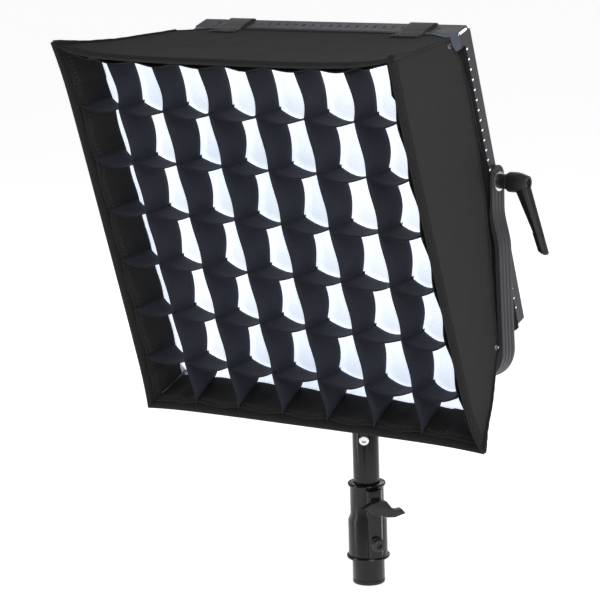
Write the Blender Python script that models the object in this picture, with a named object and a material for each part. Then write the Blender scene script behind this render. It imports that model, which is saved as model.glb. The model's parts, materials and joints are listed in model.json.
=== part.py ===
"""A square fabric softbox with an egg-crate grid, strapped to a slim LED panel light that tilts in a yoke
on the top of a light stand.

Units are metres, +Z is up and the light faces -Y. The origin is the centre of the stand's bottom face.
Everything on the light and the softbox is built level, in the tilting head's own frame: x to the right,
y to the rear and z up from the tilt axis. The empty head_pivot then tips it forward.
"""

from math import cos, pi, radians, sin, sqrt, tau

import bmesh
import bpy
from mathutils import Matrix, Vector

GAP = 0.0003
TINY = 0.00015

# Tilting head: the axis stands above the stand's bottom face, and the head looks down at rest.
PIVOT_HEIGHT = 0.4113
HEAD_TILT = radians(17.7)

# Softbox skin: a four-sided funnel, larger at the front. Its rear corners are cut back from the light.
FRONT_Y = -0.1655
REAR_Y = -0.014
FRONT_HALF_WIDTH = 0.1875
FRONT_TOP = 0.1905
FRONT_BOTTOM = 0.1925
REAR_HALF_WIDTH = 0.1495
REAR_TOP = 0.150
REAR_BOTTOM = 0.150
TOP_CORNER_Y = -0.033
BOTTOM_CORNER_Y = -0.078
FABRIC = 0.0015
HEM_DEPTH = 0.0095
HEM_WIDTH = 0.008

# Egg-crate grid and the diffusing cloth behind it.
CELLS = 7
CELL_WIDTH = 0.0525
CELL_HEIGHT = 0.0536
GRID_FRONT_Y = -0.1635
GRID_BACK_Y = -0.1285
STRIP = 0.0012
SLOT = STRIP + 2 * GAP
DIFFUSER_Y = -0.1255
DIFFUSER = 0.001
CORNER_CHAMFER = 0.013
ROD_RADIUS = 0.0015
ROD_INSET = 0.0042

# Webbing that holds the softbox to the light.
STRAP_X = 0.103
STRAP_WIDTH = 0.028
STRAP = 0.0015
STRAP_TAIL = 0.042

# LED light: a flat square housing.
LIGHT_HALF = 0.151
LIGHT_FRONT_Y = -0.011
LIGHT_BACK_Y = 0.0062
WALL = 0.0015
BEZEL = 0.010
VENT_PITCH = 0.010
VENTS_PER_HALF = 13
VENT_LENGTH = 0.006
VENT_HEIGHT = 0.0024
COVER = 0.0013
RIM_ROUND = 0.003
BOSS_HOLE_RADIUS = 0.006

# Control box on the light's back.
PLATE = 0.002
BOARD = 0.0016
BOARD_INSET = 0.017
BOX_HALF_WIDTH = 0.075
BOX_TOP = 0.030
BOX_BOTTOM = -0.062
BOX_DEPTH = 0.032
BOX_WALL = 0.002
KNOB_X = 0.050
KNOB_Z = 0.002
KNOB_RADIUS = 0.010
SHAFT_RADIUS = 0.003
ROCKER_X = -0.048
INLET_X = 0.048
LOW_Z = -0.040
ROCKER_TILT = radians(8)
ROCKER_RADIUS = 0.0135
ROCKER_WIDTH = 0.0200
ROCKER_DEPTH = 0.0115
INLET_HALF = 0.0075

# Yoke: one flat strap bent into a U, joggled outwards below the tilt axis.
YOKE_WIDTH = 0.0185
YOKE = 0.003
YOKE_TOP = 0.0150
ARM_UPPER_X = 0.1558
ARM_LOWER_X = 0.1640
JOGGLE_TOP = -0.028
JOGGLE_BOTTOM = -0.057
YOKE_BASE = -0.1905
YOKE_BEND = 0.020
SOCKET_BOLT_HOLE = 0.0054

# Clamping levers on the tilt axis.
STUD_RADIUS = 0.004
HOLE_RADIUS = 0.0044
WASHER_RADIUS = 0.0092
NECK_RADIUS = 0.007
HUB_RADIUS = 0.0057
HUB_DEPTH = 0.0115
HANDLE_RADIUS = 0.0095
HANDLE_START_X = 0.1665
HANDLE_END_X = 0.1875
LEVER_LENGTH = 0.066
LEVER_REACH = 0.0195

# Stand, from the yoke down. Heights are above the stand's bottom face.
SOCKET_TOP = PIVOT_HEIGHT + YOKE_BASE - GAP
SOCKET_BOTTOM = 0.1745
SOCKET_RADIUS = 0.0165
SPIGOT_RADIUS = 0.0079
SPIGOT_BORE = 0.0083
SPIGOT_TOP = 0.2085
RISER_RADIUS = 0.0130
RISER_BORE = 0.0110
RISER_TOP = 0.1600
RISER_BOTTOM = 0.0400
RING_SCREW_Z = 0.1479
RING_SCREW_AZIMUTH = radians(28)
RING_SCREW_HOLE = 0.0028
COLLAR_AZIMUTH = radians(56)
COLLAR_TOP = 0.1030
COLLAR_BOTTOM = 0.0258
UPPER_BARREL = 0.0168
LOWER_BARREL = 0.0193
TOP_RING = 0.0190
BOTTOM_RING = 0.0216
RING_HEIGHT = 0.0036
STEP_TOP = 0.0710
STEP_BOTTOM = 0.0650
TUBE_RADIUS = 0.0160
TUBE_BORE = 0.0146
TUBE_TOP = 0.0640
WING_Z = 0.0828
CLAMP_BOLT_Z = 0.0447
PILLAR_REACH = 0.0235
PILLAR_HALF_WIDTH = 0.0075
PLUG = 0.004

ROUND = 32


def clear_scene():
    for obj in list(bpy.data.objects):
        bpy.data.objects.remove(obj, do_unlink=True)


def finish(name, colour, roughness, metallic=0.0):
    """A plain Principled material."""
    material = bpy.data.materials.new(name)
    material.use_nodes = True
    shader = material.node_tree.nodes["Principled BSDF"]
    shader.inputs["Base Color"].default_value = (*colour, 1.0)
    shader.inputs["Roughness"].default_value = roughness
    shader.inputs["Metallic"].default_value = metallic
    return material


def make_object(name, bm, material, parent=None, origin=(0, 0, 0)):
    """Links a mesh built about the given origin, which becomes the object's location."""
    bmesh.ops.recalc_face_normals(bm, faces=bm.faces)
    mesh = bpy.data.meshes.new(name)
    bm.to_mesh(mesh)
    bm.free()
    mesh.materials.append(material)
    obj = bpy.data.objects.new(name, mesh)
    bpy.context.scene.collection.objects.link(obj)
    obj.location = origin
    obj.parent = parent
    return obj


def smooth(obj, angle=35):
    obj.data.shade_smooth()
    obj.data.set_sharp_from_angle(angle=radians(angle))
    return obj


def prism(outline, direction):
    """A closed solid: a flat outline of 3-D points, swept along a direction."""
    bm = bmesh.new()
    face = bm.faces.new([bm.verts.new(point) for point in outline])
    swept = bmesh.ops.extrude_face_region(bm, geom=[face])
    moved = [item for item in swept["geom"] if isinstance(item, bmesh.types.BMVert)]
    bmesh.ops.translate(bm, verts=moved, vec=direction)
    return bm


def block(low, high):
    """A box between two corners."""
    bm = bmesh.new()
    size = Vector(high) - Vector(low)
    middle = (Vector(high) + Vector(low)) / 2
    matrix = Matrix.Translation(middle) @ Matrix.Diagonal((*size, 1.0))
    bmesh.ops.create_cube(bm, size=1.0, matrix=matrix)
    return bm


def turned(profile, segments=ROUND):
    """A body of revolution about +Z: a closed outline of (radius, height) pairs, spun once round."""
    bm = bmesh.new()
    rings = []
    for radius, height in profile:
        if radius < TINY:
            rings.append([bm.verts.new((0, 0, height))] * segments)
            continue
        angles = [tau * index / segments for index in range(segments)]
        rings.append([bm.verts.new((radius * cos(a), radius * sin(a), height)) for a in angles])
    for ring, following in zip(rings, rings[1:] + rings[:1]):
        for index in range(segments):
            after = (index + 1) % segments
            corners = [ring[index], ring[after], following[after], following[index]]
            distinct = list(dict.fromkeys(corners))
            if len(distinct) > 2:
                bm.faces.new(distinct)
    return bm


def facing(azimuth):
    """A unit vector in plan, measured from -Y towards +X."""
    return Vector((sin(azimuth), -cos(azimuth), 0))


def turn_to(bm, direction, place):
    """Points the mesh's +Z along a direction and moves its origin to a place."""
    rotation = Vector((0, 0, 1)).rotation_difference(Vector(direction)).to_matrix().to_4x4()
    bmesh.ops.transform(bm, matrix=Matrix.Translation(place) @ rotation, verts=bm.verts)
    return bm


def combine(bm, other):
    """Adds another mesh to this one."""
    mesh = bpy.data.meshes.new("part")
    other.to_mesh(mesh)
    other.free()
    bm.from_mesh(mesh)
    bpy.data.meshes.remove(mesh)
    return bm


def helper(name, bm, parent=None):
    """A hidden shape for a Boolean."""
    bmesh.ops.recalc_face_normals(bm, faces=bm.faces)
    mesh = bpy.data.meshes.new(name)
    bm.to_mesh(mesh)
    bm.free()
    obj = bpy.data.objects.new(name, mesh)
    bpy.context.scene.collection.objects.link(obj)
    obj.parent = parent
    obj.display_type = "WIRE"
    obj.hide_render = True
    return obj


def combine_with(obj, other, operation):
    modifier = obj.modifiers.new(operation.lower(), "BOOLEAN")
    modifier.operation = operation
    modifier.solver = "EXACT"
    modifier.object = other


def cut(obj, bm, parent=None):
    combine_with(obj, helper(obj.name + "_cut", bm, parent), "DIFFERENCE")


def join(obj, bm, parent=None):
    combine_with(obj, helper(obj.name + "_join", bm, parent), "UNION")


def band(points, thickness):
    """The outline of a bent strip of even thickness along a flat path of 2-D points."""
    sides = ([], [])
    for index, point in enumerate(points):
        before = (Vector(point) - Vector(points[max(index - 1, 0)])).normalized()
        after = (Vector(points[min(index + 1, len(points) - 1)]) - Vector(point)).normalized()
        heading = (before + after).normalized()
        normal = Vector((-heading.y, heading.x))
        spread = thickness / 2 / max(abs(heading.dot(after if after.length else before)), 0.3)
        sides[0].append(Vector(point) + normal * spread)
        sides[1].append(Vector(point) - normal * spread)
    return sides[0] + sides[1][::-1]


def arc(centre, radius, start, end, steps):
    """Points on an arc, in 2-D, with the angles in degrees."""
    angles = [radians(start + (end - start) * step / steps) for step in range(steps + 1)]
    return [(centre[0] + radius * cos(a), centre[1] + radius * sin(a)) for a in angles]


def along(y, front, rear):
    """A skin dimension at depth y."""
    share = (y - FRONT_Y) / (REAR_Y - FRONT_Y)
    return front + (rear - front) * share


def half_width(y):
    return along(y, FRONT_HALF_WIDTH, REAR_HALF_WIDTH)


def top(y):
    return along(y, FRONT_TOP, REAR_TOP)


def bottom(y):
    return along(y, FRONT_BOTTOM, REAR_BOTTOM)


def skin_corner(side, level, y, inset):
    """The point on one of the four corner edges, moved in by an inset on both faces."""
    x = side * (half_width(y) - inset)
    z = top(y) - inset if level > 0 else inset - bottom(y)
    return Vector((x, y, z))


def rod(radius, length, segments=24):
    """A plain cylinder up +Z from the origin, mostly used as a drill."""
    return turned([(0, 0), (radius, 0), (radius, length), (0, length)], segments)


def solid_from_rings(rings):
    """A closed solid whose cross-sections are the given loops of points, capped at both ends."""
    bm = bmesh.new()
    loops = [[bm.verts.new(point) for point in ring] for ring in rings]
    for loop, following in zip(loops, loops[1:]):
        for index in range(len(loop)):
            after = (index + 1) % len(loop)
            bm.faces.new([loop[index], loop[after], following[after], following[index]])
    bm.faces.new(loops[0][::-1])
    bm.faces.new(loops[-1])
    return bm


def skin_point(face, share, y, inset):
    """A point on one side of the skin, with share running from -1 to 1 between its two corner edges."""
    inside = half_width(y) - inset
    above = top(y) - inset
    below = inset - bottom(y)
    if face in ("top", "bottom"):
        x = (inside - GAP * abs(share)) * share
        return Vector((x, y, above if face == "top" else below))
    z = (above + below) / 2 + ((above - below) / 2 - GAP * abs(share)) * share
    return Vector((inside if face == "right" else -inside, y, z))


def fabric_panels(head, material):
    """The four tapered fabric sides, mitred at the corner seams, each with a scooped rear edge."""
    start = FRONT_Y + HEM_DEPTH + GAP
    level_edge = [(-0.76, 0), (0.76, 0)]
    side_edge = [(-0.62, -0.028), (-0.35, -0.012), (0.0, -0.004), (0.35, 0), (0.76, 0)]
    panels = {
        "top": (TOP_CORNER_Y, level_edge, TOP_CORNER_Y),
        "bottom": (BOTTOM_CORNER_Y, level_edge, BOTTOM_CORNER_Y),
        "left": (BOTTOM_CORNER_Y, side_edge, TOP_CORNER_Y),
        "right": (BOTTOM_CORNER_Y, side_edge, TOP_CORNER_Y),
    }
    for face, (first, edge, last) in panels.items():
        outline = [(1, start), (-1, start), (-1, first)]
        outline += [(share, REAR_Y + cut_back) for share, cut_back in edge]
        outline.append((1, last))
        rings = [[skin_point(face, share, y, inset) for share, y in outline] for inset in (0, FABRIC)]
        make_object("fabric_" + face, solid_from_rings(rings), material, head)


def square_ring(y_start, y_end, outer_inset, thickness, chamfer):
    """A square tube that follows the skin's taper, with chamfered corners if asked."""

    def loop(y, inset):
        points = []
        for side, level in ((1, 1), (-1, 1), (-1, -1), (1, -1)):
            corner = skin_corner(side, level, y, inset)
            if not chamfer:
                points.append(corner)
                continue
            along_x = corner - Vector((side * chamfer, 0, 0))
            along_z = corner - Vector((0, 0, level * chamfer))
            clockwise = side * level > 0
            points.extend([along_z, along_x] if clockwise else [along_x, along_z])
        return points

    bm = bmesh.new()
    loops = []
    for y, inset in (
        (y_start, outer_inset),
        (y_end, outer_inset),
        (y_end, outer_inset + thickness),
        (y_start, outer_inset + thickness),
    ):
        loops.append([bm.verts.new(point) for point in loop(y, inset)])
    for ring, following in zip(loops, loops[1:] + loops[:1]):
        for index in range(len(ring)):
            after = (index + 1) % len(ring)
            bm.faces.new([ring[index], ring[after], following[after], following[index]])
    return bm


def front_hem(head, material):
    """The stiff turned hem round the mouth."""
    bm = square_ring(FRONT_Y, FRONT_Y + HEM_DEPTH, 0, HEM_WIDTH, 0)
    make_object("front_hem", bm, material, head)


def corner_rods(head, material):
    """Four spring rods that hold the skin's corners out, each with a rounded tip at the front."""
    front = FRONT_Y + HEM_DEPTH + 0.0015
    for name, side, level in (("tl", -1, 1), ("tr", 1, 1), ("bl", -1, -1), ("br", 1, -1)):
        inset = FABRIC + ROD_INSET
        rear = (TOP_CORNER_Y if level > 0 else BOTTOM_CORNER_Y) - 0.003
        foot = skin_corner(side, level, rear, inset)
        tip = skin_corner(side, level, front, inset)
        length = (tip - foot).length
        profile = [(0, 0), (ROD_RADIUS, 0.0004), (ROD_RADIUS, length - 0.004)]
        profile += [(0.0022, length - 0.003), (0.0022, length - 0.001), (0, length)]
        rod = turn_to(turned(profile, 10), (tip - foot).normalized(), foot)
        smooth(make_object("corner_rod_" + name, rod, material, head))


def diffuser(head, material):
    """The flat diffusing cloth, cut off at the corners to clear the rods."""
    inset = FABRIC + 0.0010
    points = []
    for side, level in ((1, 1), (-1, 1), (-1, -1), (1, -1)):
        corner = skin_corner(side, level, DIFFUSER_Y + DIFFUSER, inset)
        corner.y = DIFFUSER_Y
        along_x = corner - Vector((side * CORNER_CHAMFER, 0, 0))
        along_z = corner - Vector((0, 0, level * CORNER_CHAMFER))
        points.extend([along_z, along_x] if side * level > 0 else [along_x, along_z])
    make_object("diffuser_cloth", prism(points, (0, DIFFUSER, 0)), material, head)


def grid_border(head, material):
    """The fabric band that carries the grid strips' ends."""
    start = FRONT_Y + HEM_DEPTH + GAP
    bm = square_ring(start, GRID_BACK_Y + 0.001, FABRIC + 0.0005, STRIP, CORNER_CHAMFER)
    make_object("grid_border", bm, material, head)


def notched_strip(low, high, low_back, high_back, crossings, slot_from_front):
    """The outline (position, y) of one grid strip with a half-lap slot at each crossing."""
    middle = (GRID_FRONT_Y + GRID_BACK_Y) / 2
    if slot_from_front:
        outline = [(high_back, GRID_BACK_Y), (low_back, GRID_BACK_Y), (low, GRID_FRONT_Y)]
        edge, floor, order = GRID_FRONT_Y, middle + GAP, crossings
    else:
        outline = [(low, GRID_FRONT_Y), (high, GRID_FRONT_Y), (high_back, GRID_BACK_Y)]
        edge, floor, order = GRID_BACK_Y, middle - GAP, crossings[::-1]
    step = SLOT / 2 if slot_from_front else -SLOT / 2
    for place in order:
        outline += [(place - step, edge), (place - step, floor)]
        outline += [(place + step, floor), (place + step, edge)]
    outline.append((high, GRID_FRONT_Y) if slot_from_front else (low_back, GRID_BACK_Y))
    return outline


def grid_strips(head, material):
    """Six upright and six level strips, interlocked by half-lap slots."""
    places = [index - (CELLS - 2) / 2 for index in range(CELLS - 1)]
    columns = [place * CELL_WIDTH for place in places]
    rows = [place * CELL_HEIGHT - 0.001 for place in places]
    front_inset = HEM_WIDTH + 0.0005
    back_inset = FABRIC + 0.0005 + STRIP + 0.0006
    across = (half_width(FRONT_Y + HEM_DEPTH) - front_inset, half_width(GRID_BACK_Y) - back_inset)
    up = (top(FRONT_Y + HEM_DEPTH) - front_inset, top(GRID_BACK_Y) - back_inset)
    down = (bottom(FRONT_Y + HEM_DEPTH) - front_inset, bottom(GRID_BACK_Y) - back_inset)
    for index, x in enumerate(columns):
        outline = notched_strip(-down[0], up[0], -down[1], up[1], rows, False)
        points = [(x - STRIP / 2, y, z) for z, y in outline]
        name = f"grid_strip_v{index + 1}"
        make_object(name, prism(points, (STRIP, 0, 0)), material, head)
    for index, z in enumerate(reversed(rows)):
        outline = notched_strip(-across[0], across[0], -across[1], across[1], columns, True)
        points = [(x, y, z - STRIP / 2) for x, y in outline]
        name = f"grid_strip_h{index + 1}"
        make_object(name, prism(points, (0, 0, STRIP)), material, head)


def straps(head, material):
    """Webbing from the skin's rear edge, round the light's rim and down its back."""
    rim = LIGHT_HALF + GAP + STRAP / 2
    back = LIGHT_BACK_Y + GAP + COVER + GAP + STRAP / 2
    sewn_y = REAR_Y - 0.016
    for level, word in ((1, "top"), (-1, "bottom")):
        skin = top(sewn_y) if level > 0 else bottom(sewn_y)
        path = [
            (sewn_y, level * (skin + STRAP / 2 + GAP)),
            (REAR_Y - 0.002, level * rim),
            (back - 0.001, level * rim),
            (back, level * (rim - 0.001)),
            (back, level * (rim - STRAP_TAIL)),
        ]
        for side, hand in ((-1, "left"), (1, "right")):
            x = side * STRAP_X - STRAP_WIDTH / 2
            points = [(x, y, z) for y, z in band(path, STRAP)]
            name = f"strap_{word}_{hand}"
            make_object(name, prism(points, (STRAP_WIDTH, 0, 0)), material, head)


def vent_cutter():
    """The rows of cooling slots through the light's top and side walls."""
    bm = bmesh.new()
    middle_y = (LIGHT_FRONT_Y + LIGHT_BACK_Y) / 2
    deep = WALL * 2

    def slot(x, z, half_x, half_z):
        low = (x - half_x, middle_y - VENT_LENGTH / 2, z - half_z)
        high = (x + half_x, middle_y + VENT_LENGTH / 2, z + half_z)
        combine(bm, block(low, high))

    for index in range(VENTS_PER_HALF):
        for sign in (-1, 1):
            offset = 0.012 + index * VENT_PITCH
            for side in (-1, 1):
                slot(side * LIGHT_HALF, sign * offset, deep, VENT_HEIGHT / 2)
            offset = (index + 0.5) * VENT_PITCH
            slot(sign * offset, LIGHT_HALF, VENT_HEIGHT / 2, deep)
    return bm


def light_housing(head, materials):
    """The light's square rim with its front bezel, and the cover that closes the back."""
    half = LIGHT_HALF
    bm = block((-half, LIGHT_FRONT_Y, -half), (half, LIGHT_BACK_Y, half))
    upright = [edge for edge in bm.edges if abs(edge.verts[0].co.y - edge.verts[1].co.y) > WALL]
    bmesh.ops.bevel(bm, geom=upright, offset=RIM_ROUND, segments=3, affect="EDGES")
    rim = make_object("light_housing", bm, materials["charcoal"], head)
    inner = half - WALL
    window = half - BEZEL
    hollow = block((-inner, LIGHT_FRONT_Y + WALL, -inner), (inner, LIGHT_BACK_Y + 0.01, inner))
    cut(rim, hollow, head)
    mouth = block((-window, LIGHT_FRONT_Y - 0.01, -window), (window, LIGHT_FRONT_Y + 0.005, window))
    cut(rim, mouth, head)
    cut(rim, vent_cutter(), head)
    holes = rod(BOSS_HOLE_RADIUS, 2.2 * half, ROUND)
    cut(rim, turn_to(holes, (1, 0, 0), (-1.1 * half, 0, 0)), head)

    cover_y = LIGHT_BACK_Y + GAP
    outline = block((-half, cover_y, -half), (half, cover_y + COVER, half))
    edges = [edge for edge in outline.edges if abs(edge.verts[0].co.y - edge.verts[1].co.y) > WALL / 2]
    bmesh.ops.bevel(outline, geom=edges, offset=RIM_ROUND, segments=3, affect="EDGES")
    make_object("light_back_cover", outline, materials["charcoal"], head)


def light_inside(head, materials):
    """The diffusing front plate and the LED board behind it, clear of the studs' ends."""
    plate = LIGHT_HALF - 2 * WALL
    y = LIGHT_FRONT_Y + WALL + GAP
    bm = block((-plate, y, -plate), (plate, y + PLATE, plate))
    make_object("light_front_plate", bm, materials["opal"], head)
    board = LIGHT_HALF - BOARD_INSET
    y = LIGHT_BACK_Y - 0.0045
    bm = block((-board, y, -board), (board, y + BOARD, board))
    make_object("led_board", bm, materials["board"], head)


def control_box(head, materials):
    """The housing on the light's back with its board, display, knobs, power switch and inlet."""
    start = LIGHT_BACK_Y + GAP + COVER + GAP
    end = start + BOX_DEPTH
    chamfer = 0.0020
    rings = []
    for y, inset in ((start, 0), (end - chamfer, 0), (end, chamfer)):
        x, low, high = BOX_HALF_WIDTH - inset, BOX_BOTTOM + inset, BOX_TOP - inset
        rings.append([(x, y, low), (-x, y, low), (-x, y, high), (x, y, high)])
    box = make_object("control_box", solid_from_rings(rings), materials["black_plastic"], head)
    wall = BOX_WALL
    low = (wall - BOX_HALF_WIDTH, start - 0.01, BOX_BOTTOM + wall)
    high = (BOX_HALF_WIDTH - wall, end - wall, BOX_TOP - wall)
    cut(box, block(low, high), head)
    openings = bmesh.new()
    for side in (-1, 1):
        hole = rod(SHAFT_RADIUS + GAP, 0.01, 16)
        combine(openings, turn_to(hole, (0, 1, 0), (side * KNOB_X, end - 0.005, KNOB_Z)))
    combine(openings, block((-0.0205, end - 0.005, -0.0045), (0.0205, end + 0.005, 0.0125)))
    for x, half_x, half_z in ((ROCKER_X, 0.0105, 0.0068), (INLET_X, INLET_HALF + GAP, INLET_HALF + GAP)):
        low = (x - half_x, end - 0.005, LOW_Z - half_z)
        high = (x + half_x, end + 0.005, LOW_Z + half_z)
        combine(openings, block(low, high))
    cut(box, openings, head)

    margin = 0.006
    low = (-0.060, end - 0.014, BOX_BOTTOM + margin)
    high = (0.060, end - 0.014 + BOARD, BOX_TOP - margin)
    board = block(low, high)
    make_object("driver_board", board, materials["board"], head)
    window = block((-0.0200, end - 0.0012, -0.0040), (0.0200, end - 0.0002, 0.0120))
    make_object("display_window", window, materials["glass"], head)

    for name, side in (("brightness_knob", -1), ("colour_knob", 1)):
        shaft = SHAFT_RADIUS
        profile = [(0, -0.010), (shaft, -0.010), (shaft, 0.0006), (KNOB_RADIUS, 0.0006)]
        profile += [(KNOB_RADIUS, 0.012), (KNOB_RADIUS - 0.001, 0.013), (0, 0.013)]
        knob = turn_to(turned(profile, 24), (0, 1, 0), (0, 0, 0))
        smooth(make_object(name, knob, materials["black_plastic"], head, (side * KNOB_X, end, KNOB_Z)))

    # The rocker is a crowned wedge, flattened in height, that turns about an axis inside the box.
    outline = arc((0, 0), ROCKER_RADIUS, 44, 136, 8) + [(-0.0040, 0.0045), (0.0040, 0.0045)]
    half = ROCKER_WIDTH / 2
    rocker = prism([(-half, y, z * 0.62) for z, y in outline], (ROCKER_WIDTH, 0, 0))
    axis = (ROCKER_X, end - ROCKER_DEPTH, LOW_Z)
    switch = make_object("power_rocker", rocker, materials["black_plastic"], head, axis)
    switch.rotation_euler.x = ROCKER_TILT

    low = (INLET_X - INLET_HALF, end - 0.009, LOW_Z - INLET_HALF)
    high = (INLET_X + INLET_HALF, end + 0.001, LOW_Z + INLET_HALF)
    socket = make_object("power_inlet", block(low, high), materials["black_plastic"], head)
    mouth = rod(0.0045, 0.02, 20)
    cut(socket, turn_to(mouth, (0, 1, 0), (INLET_X, end - 0.007, LOW_Z)), head)


def yoke_path():
    """The strap's centre line in the XZ plane about the tilt axis, from left arm to right."""
    upper = ARM_UPPER_X - YOKE / 2
    lower = ARM_LOWER_X - YOKE / 2
    base = YOKE_BASE + YOKE / 2
    bend = YOKE_BEND - YOKE / 2
    span = JOGGLE_TOP - JOGGLE_BOTTOM
    joggle = []
    for step in range(7):
        share = step / 6
        ease = (1 - cos(pi * share)) / 2
        joggle.append((upper + (lower - upper) * ease, JOGGLE_TOP - span * share))
    right = [(upper, YOKE_TOP)] + joggle
    right += arc((lower - bend, base + bend), bend, 0, -90, 8)
    left = [(-x, z) for x, z in right]
    return left + right[::-1]


def yoke(materials, pivot):
    """The bent strap, rounded at its ends and bored for the two studs and the socket's bolt."""
    points = [(x, -YOKE_WIDTH / 2, z) for x, z in band(yoke_path(), YOKE)]
    strap = make_object("yoke", prism(points, (0, YOKE_WIDTH, 0)), materials["charcoal"], None, pivot)
    half = YOKE_WIDTH / 2
    centre_z = YOKE_TOP - half
    trim = bmesh.new()
    for sign in (-1, 1):
        outline = [(sign * y, z) for y, z in arc((0, centre_z), half + TINY, 0, 90, 8)]
        outline += [(0, YOKE_TOP + 0.004), (sign * (half + 0.004), YOKE_TOP + 0.004)]
        outline += [(sign * (half + 0.004), centre_z)]
        points = [(-0.2, y, z) for y, z in outline]
        combine(trim, prism(points, (0.4, 0, 0)))
    combine(trim, turn_to(rod(HOLE_RADIUS, 0.4), (1, 0, 0), (-0.2, 0, 0)))
    combine(trim, turn_to(rod(SOCKET_BOLT_HOLE, 0.02), (0, 0, 1), (0, 0, YOKE_BASE - 0.008)))
    bmesh.ops.translate(trim, vec=pivot, verts=trim.verts)
    cut(strap, trim)


def pivot_bosses(head, material):
    """A flanged bush through each side wall of the light, which the stud runs in."""
    flange = ARM_UPPER_X - YOKE - GAP
    profile = [
        (HOLE_RADIUS, 0.139),
        (0.0057, 0.139),
        (0.0057, LIGHT_HALF + GAP),
        (0.0090, LIGHT_HALF + GAP),
        (0.0090, flange),
        (HOLE_RADIUS, flange),
    ]
    for hand, side in (("left", -1), ("right", 1)):
        bm = turn_to(turned(profile, 24), (side, 0, 0), (0, 0, 0))
        smooth(make_object("pivot_boss_" + hand, bm, material, head))


def lever_handle(side):
    """The barrel of a cranked clamping handle, over the stud's hub, with a recess in its end."""
    start = HANDLE_START_X
    end = HANDLE_END_X
    barrel = turned(
        [
            (0, start),
            (HANDLE_RADIUS - 0.0012, start),
            (HANDLE_RADIUS, start + 0.002),
            (HANDLE_RADIUS, end - 0.011),
            (HANDLE_RADIUS - 0.0010, end - 0.006),
            (0.0066, end),
            (0.0042, end),
            (0.0042, end - 0.003),
            (0, end - 0.003),
        ],
        24,
    )
    return turn_to(barrel, (side, 0, 0), (0, 0, 0))


def lever_arm(side):
    """The handle's tapered arm, from the barrel to its blunt tip."""
    rings = []
    for share in (0.0, 0.25, 0.70, 0.705, 0.97, 1.0):
        outer = HANDLE_END_X + 0.0005 + LEVER_REACH * share
        thick = 0.0150 - 0.0080 * min(share * 1.35, 1.0) + (0.0008 if share > 0.702 else 0)
        wide = 0.0122 - 0.0026 * share
        pinch = 0.6 if share == 1.0 else 1.0
        z = -0.004 - (LEVER_LENGTH - 0.004) * share
        ring = []
        for y, depth in ((-0.30, 0), (-0.5, 0.35), (-0.42, 1), (0.42, 1), (0.5, 0.35), (0.30, 0)):
            x = outer - thick * (depth * pinch + (1 - pinch) / 2)
            ring.append((side * x, y * wide * pinch, z + 0.34 * (outer - x)))
        rings.append(ring)
    return solid_from_rings(rings)


def clamping_levers(materials, pivot):
    """On each arm: a washer, a threaded stud with a hub, and the handle on the hub."""
    washer_x = ARM_UPPER_X + GAP
    neck_x = washer_x + 0.0012 + GAP
    for hand, side in (("left", -1), ("right", 1)):
        direction = (side, 0, 0)
        profile = [(HOLE_RADIUS, washer_x), (WASHER_RADIUS, washer_x)]
        profile += [(WASHER_RADIUS, washer_x + 0.0012), (HOLE_RADIUS, washer_x + 0.0012)]
        washer = turn_to(turned(profile, 32), direction, (0, 0, 0))
        smooth(make_object("washer_" + hand, washer, materials["zinc"], None, pivot))

        profile = [(0, 0.136), (STUD_RADIUS, 0.137), (STUD_RADIUS, neck_x), (NECK_RADIUS, neck_x)]
        profile += [(NECK_RADIUS, HANDLE_START_X - GAP), (HUB_RADIUS, HANDLE_START_X - GAP)]
        profile += [(HUB_RADIUS, HANDLE_START_X + HUB_DEPTH), (0, HANDLE_START_X + HUB_DEPTH)]
        stud = turn_to(turned(profile, 24), direction, (0, 0, 0))
        smooth(make_object("lever_stud_" + hand, stud, materials["steel"], None, pivot))

        name = "lever_handle_" + hand
        handle = make_object(name, lever_handle(side), materials["black_plastic"], None, pivot)
        arm = lever_arm(side)
        bmesh.ops.translate(arm, vec=pivot, verts=arm.verts)
        join(handle, arm)
        bore = rod(HUB_RADIUS + GAP, HUB_DEPTH + 0.0055)
        cut(handle, turn_to(bore, direction, pivot + Vector(direction) * (HANDLE_START_X - 0.005)))
        smooth(handle)


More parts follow.
